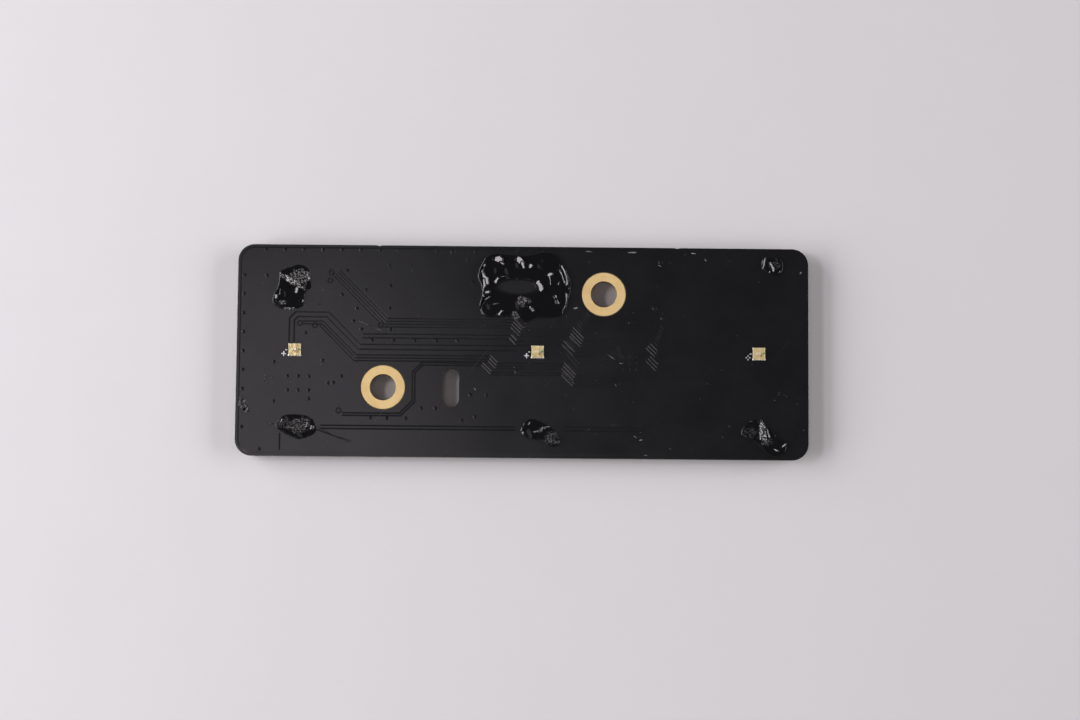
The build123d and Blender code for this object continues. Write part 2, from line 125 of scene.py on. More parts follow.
def new_piece(name, points, faces, material, replaced=(), smooth=True, masks=None):
    """A piece made of arrays of points and of faces with three or four corners each. It rides
    on the board, takes the material it is given, and may stand for CAD nodes."""
    mesh = bpy.data.meshes.new(name)
    corners = np.concatenate([f.ravel() for f in faces]).astype(np.int32)
    counts = np.concatenate([np.full(len(f), f.shape[1]) for f in faces])
    starts = (np.cumsum(counts) - counts).astype(np.int32)
    mesh.vertices.add(len(points))
    mesh.vertices.foreach_set("co", np.asarray(points, np.float32).ravel())
    mesh.loops.add(len(corners))
    mesh.loops.foreach_set("vertex_index", corners)
    mesh.polygons.add(len(counts))
    mesh.polygons.foreach_set("loop_start", starts)
    mesh.update(calc_edges=True)
    for mask, values in (masks or {}).items():
        mesh.attributes.new(mask, "FLOAT", "POINT").data.foreach_set("value", values.astype(np.float32))
    shell = bmesh.new()
    shell.from_mesh(mesh)
    bmesh.ops.recalc_face_normals(shell, faces=shell.faces)
    shell.to_mesh(mesh)
    shell.free()
    mesh.polygons.foreach_set("use_smooth", np.full(len(mesh.polygons), smooth))
    mesh.materials.append(material)
    piece = bpy.data.objects.new(name, mesh)
    bpy.context.scene.collection.objects.link(piece)
    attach(piece, "root")
    if replaced:
        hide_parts(*replaced)
    return piece


def gather(shells):
    """Several (points, faces) shells as one, with the faces counted on."""
    points, faces, start = [], [], 0
    for shell_points, shell_faces in shells:
        points.append(shell_points)
        faces += [f + start for f in shell_faces]
        start += len(shell_points)
    return np.concatenate(points), faces


def turned(profile, steps):
    """A closed profile of (radius, height) rows carried round the upright axis: each point goes
    to radius times the cosine and sine of the angle."""
    angle = np.linspace(0, 2 * pi, steps, endpoint=False)
    radius, height = np.asarray(profile).T
    points = np.stack([radius[:, None] * np.cos(angle), radius[:, None] * np.sin(angle),
                       np.repeat(height[:, None], steps, axis=1)], axis=-1)
    quads = grid_quads(len(profile) + 1, steps, closed=True) % (len(profile) * steps)
    return points.reshape(-1, 3), [quads]


def round_rise(centre, radius, height, foot, share, fall, steps):
    """A closed low round form: rings at shares of the radius, each at its fall's share of the
    height, with a point at the top and a flat foot."""
    rings = len(share)
    angle = np.linspace(0, 2 * pi, steps, endpoint=False)
    points = np.stack([centre[0] + radius * share[:, None] * np.cos(angle),
                       centre[1] + radius * share[:, None] * np.sin(angle),
                       np.repeat((foot + height * fall)[:, None], steps, axis=1)], axis=-1)
    middle = np.array([[*centre, foot + height], [*centre, foot]])
    outer = np.arange((rings - 1) * steps, rings * steps)
    faces = [grid_quads(rings, steps, closed=True), fan(rings * steps, np.arange(steps)),
             fan(rings * steps + 1, outer)]
    return np.concatenate([points.reshape(-1, 3), middle]), faces


def dome(centre, radius, height, foot, rings=5, steps=16):
    """A closed low dome: its height falls from the middle as the square root of one less the
    square of the radius's share, and its flat foot closes it."""
    share = np.sin(np.linspace(0, pi / 2, rings + 1))[1:]
    return round_rise(centre, radius, height, foot, share, np.sqrt(np.maximum(1 - share**2, 0)), steps)


def mound(centre, radius, height, foot, rings=7, steps=20):
    """A closed low mound: its height falls from the middle as half of one more than the cosine
    of the radius's share of half a turn, so that it runs out level, and its flat foot closes it."""
    share = np.linspace(0, 1, rings + 1)[1:]
    return round_rise(centre, radius, height, foot, share, (1 + np.cos(pi * share)) / 2, steps)


def block(outline, profile):
    """A closed block: an outline in plan, drawn in by each row of the profile (how far in, at
    what height) along the line from each point to its own inner side, and closed by two fans."""
    outline = np.asarray(outline, float)
    ahead, behind = np.roll(outline, -1, axis=0), np.roll(outline, 1, axis=0)
    along = ahead - behind
    along /= np.maximum(np.hypot(*along.T), 1e-12)[:, None]
    inward = np.stack([-along[:, 1], along[:, 0]], axis=-1)
    rows = [np.column_stack([outline + inward * inset, np.full(len(outline), height)])
            for inset, height in profile]
    count = len(outline)
    ends = [np.append(row.mean(axis=0)[:2], row[0, 2]) for row in (rows[0], rows[-1])]
    last = len(rows) * count
    faces = [grid_quads(len(rows), count, closed=True), fan(last, np.arange(count)),
             fan(last + 1, np.arange(last - count, last))]
    return np.concatenate([*rows, ends]), faces


def rounded_square(middle, half, corner, steps=6):
    """A square outline, anticlockwise, with a quarter circle at each corner."""
    angle = np.linspace(0, pi / 2, steps)
    quarters = []
    for k in range(4):
        turn = k * pi / 2
        arc = np.stack([np.cos(angle + turn), np.sin(angle + turn)], axis=-1) * corner
        towards = np.array([cos(pi / 4 + turn), sin(pi / 4 + turn)])
        quarters.append(arc + (half - corner) * np.sqrt(2) * towards)
    return np.concatenate(quarters) + middle


def tube(path, radius, sides=8):
    """A closed round tube along a path, of one radius or of one for each point: each ring stands
    square to the run between the points before and after it."""
    path, radius = np.asarray(path, float), np.reshape(radius, (-1, 1, 1))
    along = np.gradient(path, axis=0)
    along /= np.linalg.norm(along, axis=1)[:, None]
    across = np.cross(along, [0.0, 0.0, 1.0])
    across /= np.maximum(np.linalg.norm(across, axis=1), 1e-12)[:, None]
    above = np.cross(across, along)
    angle = np.linspace(0, 2 * pi, sides, endpoint=False)[None, :, None]
    rings = path[:, None] + radius * (across[:, None] * np.cos(angle) + above[:, None] * np.sin(angle))
    last = len(path) * sides
    faces = [grid_quads(len(path), sides, closed=True), fan(last, np.arange(sides)),
             fan(last + 1, np.arange(last - sides, last))]
    return np.concatenate([rings.reshape(-1, 3), path[[0, -1]]]), faces


def rib(start, end, width, height, foot, taper=0.2, stations=9, sections=9):
    """A low soft rib from start to end: across it the height follows half of one more than the
    cosine, so that both sides run out level, and it sinks to nothing over a share of its length
    at each end, on a flat foot."""
    start, end = np.asarray(start, float), np.asarray(end, float)
    along = (end - start) / hypot(*(end - start))
    across = np.array([-along[1], along[0]])
    share = np.linspace(0, 1, stations)
    swell = 0.05 + 0.95 * smooth_step(np.minimum(share, 1 - share) / taper)
    part = np.linspace(1, -1, sections)
    middle = start + share[:, None] * (end - start)
    side = width / 2 * np.sqrt(swell)[:, None] * part
    rise = height * swell[:, None] * (1 + np.cos(pi * part)) / 2
    plan = middle[:, None] + side[..., None] * across
    points = np.dstack([plan, foot + rise])
    last = stations * sections
    ends = [np.append(p, foot) for p in (start, end)]
    faces = [grid_quads(stations, sections, closed=True), fan(last, np.arange(sections)),
             fan(last + 1, np.arange(last - sections, last))]
    return np.concatenate([points.reshape(-1, 3), ends]), faces


# ---------------------------------------------------------------- noise and relief, over arrays


def noise(x, y, cell, seed):
    """Random values on a square lattice, joined smoothly: each point weighs the corners of its
    cell by a curve that is flat at both ends. From -1 to 1."""
    size = 64
    lattice = np.random.default_rng(seed).uniform(-1, 1, (size, size))
    i, j = np.floor(x / cell).astype(int), np.floor(y / cell).astype(int)
    a, b = x / cell - i, y / cell - j
    a, b = (t**3 * (t * (6 * t - 15) + 10) for t in (a, b))
    i, j, right, up = i % size, j % size, (i + 1) % size, (j + 1) % size
    lower = lattice[i, j] * (1 - a) + lattice[right, j] * a
    upper = lattice[i, up] * (1 - a) + lattice[right, up] * a
    return lower * (1 - b) + upper * b


def rough(x, y, cell, seed, layers=4):
    """Layers of noise, each with half the cell and half the strength of the one before."""
    return sum(noise(x, y, cell / 2**k, seed + k) / 2**k for k in range(layers)) / 2


def smooth_step(t):
    """0 below 0, 1 above 1, and a curve that is flat at both ends between."""
    t = np.clip(t, 0, 1)
    return t * t * (3 - 2 * t)


def nearest_on_line(x, y, points):
    """How far each place lies from the line through the points: the least, over its runs, of
    the distance to the run's own line and past its ends."""
    best = np.full(np.shape(x), np.inf)
    for (ax, ay), (bx, by) in zip(points, points[1:]):
        length = hypot(bx - ax, by - ay)
        tx, ty = (bx - ax) / length, (by - ay) / length
        along = (x - ax) * tx + (y - ay) * ty
        beside = (x - ax) * ty - (y - ay) * tx
        over = np.maximum(np.maximum(-along, along - length), 0)
        best = np.minimum(best, np.hypot(beside, over))
    return best


def facet(x, y, top, points, width, slope):
    """The surface with one flat band in it: within about half the width of the line through the
    points it is a plane that climbs by slope along x and y, through the surface's level at the
    line's middle, with a faint roughness. Noise bends the band and frays its sides, and it is
    eased back into the surface just outside."""
    soft = 0.07
    sway = 0.25 * min(width, 0.4)
    bent_x = x + sway * rough(x + 7, y + 7, 0.35, 17, 3)
    bent_y = y + sway * rough(x + 3, y + 5, 0.35, 23, 3)
    distance = nearest_on_line(bent_x, bent_y, points) - 0.3 * width * noise(x + 9, y + 2, 0.5, 13)
    inside = smooth_step((width / 2 + soft - distance) / soft)
    middle = np.mean([points[0], points[-1]], axis=0)
    nearest = np.argmin(np.hypot(x - middle[0], y - middle[1]))
    plane = top.flat[nearest] + slope[0] * (x - middle[0]) + slope[1] * (y - middle[1])
    plane = plane + 0.0035 * rough(x, y, 0.22, 29, 2)
    return top * (1 - inside) + plane * inside


def bell(x, y, middle, radii, turn=0.0):
    """1 at the middle of an ellipse, falling as a bell to nothing outside it."""
    c, s = cos(turn), sin(turn)
    u = ((x - middle[0]) * c + (y - middle[1]) * s) / radii[0]
    v = ((y - middle[1]) * c - (x - middle[0]) * s) / radii[1]
    return np.exp(-(u * u + v * v) ** 1.5)


# ---------------------------------------------------------------- shader groups and materials


def add_node(tree, kind, inputs=None, **settings):
    """A node of a kind, with its settings and the values of its unlinked inputs."""
    made = tree.nodes.new(kind)
    for name, value in settings.items():
        setattr(made, name, value)
    for name, value in (inputs or {}).items():
        made.inputs[name].default_value = value
    return made


def new_group(name, inputs, outputs):
    """An empty shader group with its sockets, and its input and output nodes."""
    group = bpy.data.node_groups.new(name, "ShaderNodeTree")
    for socket, kind, value in inputs:
        made = group.interface.new_socket(name=socket, in_out="INPUT", socket_type=kind)
        made.default_value = value
    for socket, kind in outputs:
        group.interface.new_socket(name=socket, in_out="OUTPUT", socket_type=kind)
    return group, group.nodes.new("NodeGroupInput"), group.nodes.new("NodeGroupOutput")


def grain_group():
    """Fine grain: a mask from layered noise, and the normal of a surface that it roughens."""
    group, given, result = new_group(
        "Grain",
        [("Scale", "NodeSocketFloat", 1000.0), ("Depth", "NodeSocketFloat", 0.001 * MM),
         ("Low", "NodeSocketFloat", 0.35), ("High", "NodeSocketFloat", 0.65)],
        [("Mask", "NodeSocketFloat"), ("Normal", "NodeSocketVector")])
    place = add_node(group, "ShaderNodeTexCoord")
    layers = add_node(group, "ShaderNodeTexNoise", {"Detail": 4.0, "Roughness": 0.6})
    spread = add_node(group, "ShaderNodeMapRange", interpolation_type="SMOOTHSTEP")
    relief = add_node(group, "ShaderNodeBump", {"Strength": 1.0})
    link = group.links.new
    link(place.outputs["Object"], layers.inputs["Vector"])
    link(given.outputs["Scale"], layers.inputs["Scale"])
    link(layers.outputs["Fac"], spread.inputs["Value"])
    link(given.outputs["Low"], spread.inputs["From Min"])
    link(given.outputs["High"], spread.inputs["From Max"])
    link(spread.outputs["Result"], result.inputs["Mask"])
    link(layers.outputs["Fac"], relief.inputs["Height"])
    link(given.outputs["Depth"], relief.inputs["Distance"])
    link(relief.outputs["Normal"], result.inputs["Normal"])
    return group


def flecks_group():
    """Scattered flecks: the cells of a lattice of random points, near their middles, where a
    second random value is high. Size is a share of the cell, and Share is how many cells."""
    group, given, result = new_group(
        "Flecks",
        [("Scale", "NodeSocketFloat", 1000.0), ("Size", "NodeSocketFloat", 0.2),
         ("Share", "NodeSocketFloat", 0.1)],
        [("Mask", "NodeSocketFloat")])
    place = add_node(group, "ShaderNodeTexCoord")
    wobble = add_node(group, "ShaderNodeTexNoise", {"Scale": 3000.0, "Detail": 2.0})
    shift = add_node(group, "ShaderNodeMix", {"Factor": 0.0004}, data_type="VECTOR")
    cells = add_node(group, "ShaderNodeTexVoronoi", feature="F1")
    near = add_node(group, "ShaderNodeMath", operation="LESS_THAN")
    parts = add_node(group, "ShaderNodeSeparateColor")
    chosen = add_node(group, "ShaderNodeMath", operation="LESS_THAN")
    both = add_node(group, "ShaderNodeMath", operation="MULTIPLY")
    link = group.links.new
    link(place.outputs["Object"], wobble.inputs["Vector"])
    link(place.outputs["Object"], shift.inputs[4])
    link(wobble.outputs["Color"], shift.inputs[5])
    link(shift.outputs[1], cells.inputs["Vector"])
    link(given.outputs["Scale"], cells.inputs["Scale"])
    link(cells.outputs["Distance"], near.inputs[0])
    link(given.outputs["Size"], near.inputs[1])
    link(cells.outputs["Color"], parts.inputs["Color"])
    link(parts.outputs["Red"], chosen.inputs[0])
    link(given.outputs["Share"], chosen.inputs[1])
    link(near.outputs["Value"], both.inputs[0])
    link(chosen.outputs["Value"], both.inputs[1])
    link(both.outputs["Value"], result.inputs["Mask"])
    return group


def hairlines_group():
    """Fine scratches along one direction: noise drawn out long that way, kept where it peaks."""
    group, given, result = new_group(
        "Hairlines",
        [("Turn", "NodeSocketVector", (0.0, 0.0, 0.6)),
         ("Stretch", "NodeSocketVector", (150.0, 9000.0, 150.0)),
         ("Threshold", "NodeSocketFloat", 0.72)],
        [("Mask", "NodeSocketFloat")])
    place = add_node(group, "ShaderNodeTexCoord")
    turned_place = add_node(group, "ShaderNodeMapping", vector_type="TEXTURE")
    stretched = add_node(group, "ShaderNodeVectorMath", operation="MULTIPLY")
    layers = add_node(group, "ShaderNodeTexNoise", {"Scale": 1.0, "Detail": 1.0})
    peaks = add_node(group, "ShaderNodeMapRange", {"From Max": 0.85}, interpolation_type="SMOOTHSTEP")
    link = group.links.new
    link(place.outputs["Object"], turned_place.inputs["Vector"])
    link(given.outputs["Turn"], turned_place.inputs["Rotation"])
    link(turned_place.outputs["Vector"], stretched.inputs[0])
    link(given.outputs["Stretch"], stretched.inputs[1])
    link(stretched.outputs["Vector"], layers.inputs["Vector"])
    link(layers.outputs["Fac"], peaks.inputs["Value"])
    link(given.outputs["Threshold"], peaks.inputs["From Min"])
    link(peaks.outputs["Result"], result.inputs["Mask"])
    return group


GROUP_MAKERS = {"Grain": grain_group, "Flecks": flecks_group, "Hairlines": hairlines_group}


def effect(tree, name, **inputs):
    """A shared effect placed in a material with its own values."""
    group = bpy.data.node_groups.get(name) or GROUP_MAKERS[name]()
    placed = tree.nodes.new("ShaderNodeGroup")
    placed.node_tree = group
    for socket, value in inputs.items():
        placed.inputs[socket].default_value = value
    return placed


def colour(rgb):
    """A colour socket's value."""
    return (*rgb, 1.0)


def blend_colours(tree, mask, first, second):
    """The output of a mix of two colours by a mask. Each is a colour or an output."""
    mix = add_node(tree, "ShaderNodeMix", data_type="RGBA")
    tree.links.new(mask, mix.inputs[0])
    for socket, given in ((6, first), (7, second)):
        if isinstance(given, bpy.types.NodeSocket):
            tree.links.new(given, mix.inputs[socket])
        else:
            mix.inputs[socket].default_value = colour(given)
    return mix.outputs[2]


def blend_values(tree, mask, first, second):
    """The output of a mix of two values by a mask. Each is a number or an output."""
    mix = add_node(tree, "ShaderNodeMix", data_type="FLOAT")
    tree.links.new(mask, mix.inputs[0])
    for socket, given in ((2, first), (3, second)):
        if isinstance(given, bpy.types.NodeSocket):
            tree.links.new(given, mix.inputs[socket])
        else:
            mix.inputs[socket].default_value = given
    return mix.outputs[0]


def new_material(name, **inputs):
    """A material with its Principled shader's values set, its tree and that shader."""
    made = bpy.data.materials.new(name)
    made.use_nodes = True
    shader = made.node_tree.nodes["Principled BSDF"]
    for socket, value in inputs.items():
        shader.inputs[socket.replace("_", " ")].default_value = value
    return made, made.node_tree, shader


def finish_node(name, material):
    """Gives a CAD node its material, in its own slots."""
    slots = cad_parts[name].data.materials
    slots.clear()
    slots.append(material)


def grained_material(name, light, dark, roughness, scale, depth, **inputs):
    """A finish of two close colours in a grain, which also varies its roughness and relief."""
    material, tree, shader = new_material(name, **inputs)
    grain = effect(tree, "Grain", Scale=scale, Depth=depth)
    link = tree.links.new
    link(blend_colours(tree, grain.outputs["Mask"], dark, light), shader.inputs["Base Color"])
    link(blend_values(tree, grain.outputs["Mask"], roughness[1], roughness[0]), shader.inputs["Roughness"])
    link(grain.outputs["Normal"], shader.inputs["Normal"])
    return material


# ---------------------------------------------------------------- the board


class BoardSettings(bpy.types.PropertyGroup):
    """The board's coats, core and plating."""

    mask_colour: FloatVectorProperty(
        name="Coat", description="The black coat's own colour", subtype="COLOR", size=3,
        default=(0.0058, 0.0056, 0.0066), min=0, max=1)
    mask_roughness: FloatProperty(
        name="Coat roughness", description="How satin the coat is", subtype="FACTOR",
        default=0.17, min=0, max=1)
    dust_colour: FloatVectorProperty(
        name="Dust", description="Dust and fine scratches in the coat", subtype="COLOR", size=3,
        default=(0.11, 0.105, 0.11), min=0, max=1)
    core_colour: FloatVectorProperty(
        name="Core", description="The laminate's resin, seen at the edges", subtype="COLOR", size=3,
        default=(0.115, 0.095, 0.055), min=0, max=1)
    gold_colour: FloatVectorProperty(
        name="Gold", description="The plating on the screw holes' rings", subtype="COLOR", size=3,
        default=(0.97, 0.74, 0.38), min=0, max=1)
    ring_roughness: FloatProperty(
        name="Ring roughness", description="How satin the rings' plating is", subtype="FACTOR",
        default=0.66, min=0, max=1)
    via_radius: FloatProperty(
        name="Via radius", description="The radius of the smooth bump over a filled via",
        subtype="DISTANCE", unit="LENGTH", default=0.26 * MM)
    via_height: FloatProperty(
        name="Via height", description="How high a via's bump stands out of the coat",
        subtype="DISTANCE", unit="LENGTH", default=0.048 * MM)
    track_width: FloatProperty(
        name="Fine track width", description="The width of the raised fine tracks",
        subtype="DISTANCE", unit="LENGTH", default=0.09 * MM)
    track_height: FloatProperty(
        name="Fine track height", description="How high the fine tracks stand out of the coat",
        subtype="DISTANCE", unit="LENGTH", default=0.007 * MM)


def mask_material(settings):
    """Satin black coat: a faint orange peel, dust flecks and hairline scratches."""
    material, tree, shader = new_material("Solder Mask", IOR=1.5, Specular_IOR_Level=0.85)
    peel = effect(tree, "Grain", Scale=2600.0, Depth=0.0006 * MM)
    patches = effect(tree, "Grain", Scale=160.0, Depth=0.0, Low=0.3, High=0.7)
    flecks = effect(tree, "Flecks", Scale=1100.0, Size=0.09, Share=0.16)
    lines = effect(tree, "Hairlines", Turn=(0.0, 0.0, 0.9), Threshold=0.74)
    link = tree.links.new
    tone = blend_colours(tree, patches.outputs["Mask"], settings.mask_colour,
                         [c * 1.35 for c in settings.mask_colour])
    specks = blend_colours(tree, flecks.outputs["Mask"], tone, [c * 0.45 for c in settings.dust_colour])
    scratched = blend_values(tree, lines.outputs["Mask"], 0.0, 0.22)
    link(blend_colours(tree, scratched, specks, settings.dust_colour), shader.inputs["Base Color"])
    satin = settings.mask_roughness
    link(blend_values(tree, patches.outputs["Mask"], satin, satin + 0.04), shader.inputs["Roughness"])
    link(peel.outputs["Normal"], shader.inputs["Normal"])
    return material


def core_material(settings):
    """Resin and glass laminate: thin layers of cloth across its thickness, in a yellow resin."""
    material, tree, shader = new_material("Laminate", IOR=1.5)
    place = add_node(tree, "ShaderNodeTexCoord")
    layers = add_node(tree, "ShaderNodeTexWave", {"Scale": 1700.0, "Distortion": 2.0,
                                                  "Detail Scale": 900.0}, bands_direction="Z")
    threads = effect(tree, "Grain", Scale=5200.0, Depth=0.004 * MM)
    link = tree.links.new
    link(place.outputs["Object"], layers.inputs["Vector"])
    cloth = blend_colours(tree, layers.outputs["Fac"], [c * 0.55 for c in settings.core_colour],
                          settings.core_colour)
    pale = [min(1, c * 1.9) for c in settings.core_colour]
    speckle = blend_values(tree, threads.outputs["Mask"], 0.0, 0.5)
    link(blend_colours(tree, speckle, cloth, pale), shader.inputs["Base Color"])
    link(blend_values(tree, threads.outputs["Mask"], 0.75, 0.5), shader.inputs["Roughness"])
    link(threads.outputs["Normal"], shader.inputs["Normal"])
    return material


def gold_material(settings):
    """Satin gold plating: a fine grain, faint hairlines and a few dull grey rubs. The barrels of
    the holes, masked, are painted dark brown as painted shade inside the holes."""
    material, tree, shader = new_material("Gold Plating", Metallic=0.7, IOR=1.6)
    grain = effect(tree, "Grain", Scale=3800.0, Depth=0.0022 * MM)
    clouds = effect(tree, "Grain", Scale=420.0, Depth=0.0, Low=0.35, High=0.7)
    lines = effect(tree, "Hairlines", Turn=(0.0, 0.0, 1.9), Threshold=0.66)
    link = tree.links.new
    gold = blend_colours(tree, clouds.outputs["Mask"], settings.gold_colour,
                         [c * k for c, k in zip(settings.gold_colour, (0.93, 0.88, 0.80))])
    rubbed = blend_values(tree, lines.outputs["Mask"], 0.0, 0.35)
    barrel = add_node(tree, "ShaderNodeAttribute", attribute_name="barrel")
    worn = blend_colours(tree, rubbed, gold, (0.62, 0.52, 0.36))
    # painted shade: the barrel mask turns the hole walls dark brown, as the shade inside the holes
    link(blend_colours(tree, barrel.outputs["Fac"], worn, (0.10, 0.065, 0.035)), shader.inputs["Base Color"])
    satin = settings.ring_roughness
    link(blend_values(tree, grain.outputs["Mask"], satin - 0.06, satin + 0.06), shader.inputs["Roughness"])
    link(grain.outputs["Normal"], shader.inputs["Normal"])
    return material


def ink_material():
    """Matt white ink, thin enough in places to let the black through."""
    return grained_material("White Ink", (0.80, 0.86, 0.92), (0.58, 0.63, 0.69), (0.55, 0.7), 5000.0,
                            0.004 * MM)


def ring_shell(side):
    """A plated hole turned about its axis: barrel, eased edges and the two flat rings, with a mask on
    the barrel, which marks where painted shade darkens the plating."""
    points = node_points(f"ring_{side}")
    low, high = points.min(axis=0), points.max(axis=0)
    middle = (low[:2] + high[:2]) / 2
    reach = np.hypot(*(points[:, :2] - middle).T)
    outer, inner = reach.max(), reach.min()
    ease, foil = 0.03 * MM, 0.035 * MM
    quarter = np.linspace(0, pi / 2, 5)
    upper = [(inner + ease * (1 - cos(a)), high[2] - ease * (1 - sin(a))) for a in quarter]
    edge = [(outer - ease / 2 * (1 - sin(a)), high[2] - ease / 2 * (1 - cos(a))) for a in quarter]
    wall = inner + 0.05 * MM
    half = upper + edge + [(outer, high[2] - foil), (wall, high[2] - foil)]
    flipped = [(r, low[2] + high[2] - z) for r, z in reversed(half)]
    rings, faces = turned(half + flipped, 160)
    barrel = np.hypot(*rings[:, :2].T) < inner + ease / 2
    rings[:, :2] += middle
    return rings, faces, {"barrel": barrel.astype(float)}


def via_domes(settings):
    """A smooth bump over each filled via, but for those the driver's own pad holds flat."""
    low, high = node_box("driver_body")
    places = [p for p in via_places() if not (low[0] < p[0] < high[0] and low[1] < p[1] < high[1])]
    return gather([mound(place, settings.via_radius, settings.via_height, BOARD_TOP - 0.001 * MM)
                   for place in places])


# Fans of fine raised tracks beside the parts: the first rib (start, end), the last one, and how
# many there are, in millimetres from the middle of the board
FANS = [
    ((-0.95, 3.65), (0.2, 2.6), (-1.75, 3.1), (-0.55, 2.0), 3),
    ((-1.45, 2.25), (-0.7, 1.55), (-1.6, 1.75), (-0.9, 1.05), 2),
    ((-3.95, -0.35), (-3.45, -0.9), (-4.3, -0.95), (-3.8, -1.5), 3),
    ((7.64, 5.07), (8.31, 4.29), (7.31, 4.34), (7.76, 3.84), 3),
    ((6.76, 3.96), (7.42, 3.23), (6.42, 3.24), (7.26, 2.3), 3),
    ((5.87, 2.79), (6.53, 2.07), (5.14, 0.96), (6.26, 0.07), 5),
    ((5.2, 0.5), (7.2, -1.7), (5.1, 0.02), (6.9, -2.0), 2),
    ((5.1, -1.3), (6.6, -2.4), (4.76, -2.9), (5.9, -4.05), 5),
    ((11.4, 0.9), (12.1, 0.3), (11.7, -0.3), (12.4, -0.8), 4),
    ((15.2, -1.0), (15.7, -1.6), (16.8, 3.4), (17.3, 2.8), 12),
]
# Small round bumps of the coat beside the fans, and how far each reaches
BLOBS = [(-0.75, -2.6), (4.7, 0.05), (13.1, 0.67), (13.67, 0.17), (13.6, -0.8), (13.3, -2.0), (14.3, -2.8),
         (14.6, -3.5), (13.0, 3.8), (12.0, -3.8), (16.5, -4.9), (16.25, 3.1), (16.75, 2.3), (-25.0, 5.55),
         (-18.7, 3.0), (-20.35, -1.5)]
BLOB_RADIUS = 0.24


def fine_tracks(settings):
    """The fans of ribs, each carried evenly from its first rib to its last, with ends that are a
    little uneven, and the blobs."""
    foot = BOARD_TOP - 0.001 * MM
    shells = []
    for first_start, first_end, last_start, last_end, count in FANS:
        for k in range(count):
            share = k / (count - 1)
            start = np.array(first_start) * (1 - share) + np.array(last_start) * share
            end = np.array(first_end) * (1 - share) + np.array(last_end) * share
            uneven = 0.06 * sin(2.3 * k) * (end - start)
            shells.append(rib((start - uneven) * MM, (end + uneven) * MM, settings.track_width,
                              settings.track_height, foot))
    for place in BLOBS:
        shells.append(mound(np.array(place) * MM, BLOB_RADIUS * MM, settings.track_height, foot))
    return gather(shells)


def ink_stroke(middle, size, line, profile, seed):
    """One stroke: its outline is a circle's cosines and sines raised to a small power, which nearly
    fills the rectangle, and noise draws it in a little."""
    half = np.array(size) / 2
    angle = np.linspace(0, 2 * pi, 64, endpoint=False)
    plan = np.stack([np.cos(angle), np.sin(angle)], axis=-1)
    plan = np.sign(plan) * np.abs(plan) ** 0.35
    wander = noise(np.cos(angle) * 2 + 9, np.sin(angle) * 2 + 9, 0.7, seed)[:, None]
    return block(middle + plan * half * (1 - 0.15 * line / half.max() * (1 + wander)), profile)


def ink_marks():
    """A plus and a dash beside each LED. The strokes are blocks with eased tops, and the last plus
    is worn through at its middle, which leaves its four arms."""
    line, span, dash = 0.13 * MM, 0.66 * MM, 0.28 * MM
    plus_offset, dash_offset = np.array([-1.33, -0.48]) * MM, np.array([-1.0, -0.01]) * MM
    worn_led, worn_reach = LEDS[-1], 0.12 * MM
    height = node_box("silkscreen")[1][2] - BOARD_TOP
    profile = [(0, BOARD_TOP), (0, BOARD_TOP + height * 0.6), (0.1 * line, BOARD_TOP + height)]
    strokes = []
    for n in LEDS:
        led = node_middle(f"led_{n}_base")
        plus = led + plus_offset
        if n == worn_led:
            arm = span / 2 - worn_reach
            for k, way in enumerate(((1, 0), (0, 1), (-1, 0), (0, -1))):
                size = (arm, line) if way[1] == 0 else (line, arm)
                place = plus + np.array(way) * (worn_reach + arm / 2)
                strokes.append(ink_stroke(place, size, line, profile, 20 * n + k))
        else:
            strokes.append(ink_stroke(plus, (span, line), line, profile, 20 * n))
            strokes.append(ink_stroke(plus, (line, span), line, profile, 20 * n + 1))
        strokes.append(ink_stroke(led + dash_offset, (dash, line), line, profile, 20 * n + 9))
    return gather(strokes)


class LEDBOARD_OT_board(bpy.types.Operator):
    """Finish the core, the coats, the plated holes, the via bumps, the fine tracks and the ink"""

    bl_idname = "led_board.board"
    bl_label = "Board"

    def execute(self, context):
        settings = context.scene.led_board
        mask = mask_material(settings)
        finish_node("substrate", core_material(settings))
        finish_node("solder_mask_top", mask)
        finish_node("solder_mask_bottom", mask)
        gold = gold_material(settings)
        for side in HOLES:
            points, faces, masks = ring_shell(side)
            new_piece(f"plated_hole_{side}", points, faces, gold, [f"ring_{side}"],
                      smooth=False, masks=masks)
        points, faces = via_domes(settings)
        new_piece("via_bumps", points, faces, mask)
        points, faces = fine_tracks(settings)
        new_piece("fine_tracks", points, faces, mask)
        points, faces = ink_marks()
        new_piece("ink_marks", points, faces, ink_material(), ["silkscreen"], smooth=False)
        return {"FINISHED"}


# ---------------------------------------------------------------- the LEDs


class LedSettings(bpy.types.PropertyGroup):
    """The chip LEDs' resin, base, dies and bonds."""

    base_colour: FloatVectorProperty(
        name="Base", description="The reflective base", subtype="COLOR", size=3,
        default=(0.60, 0.52, 0.31), min=0, max=1)
    resin_roughness: FloatProperty(
        name="Resin roughness", description="How clear the moulded resin's faces are", subtype="FACTOR",
        default=0.12, min=0, max=1)
    resin_ease: FloatProperty(
        name="Resin edge", description="How far the resin's upper edges are eased",
        subtype="DISTANCE", unit="LENGTH", default=0.05 * MM)
    wire_radius: FloatProperty(
        name="Bond wire radius", description="The radius of the gold bond wires",
        subtype="DISTANCE", unit="LENGTH", default=0.0125 * MM)


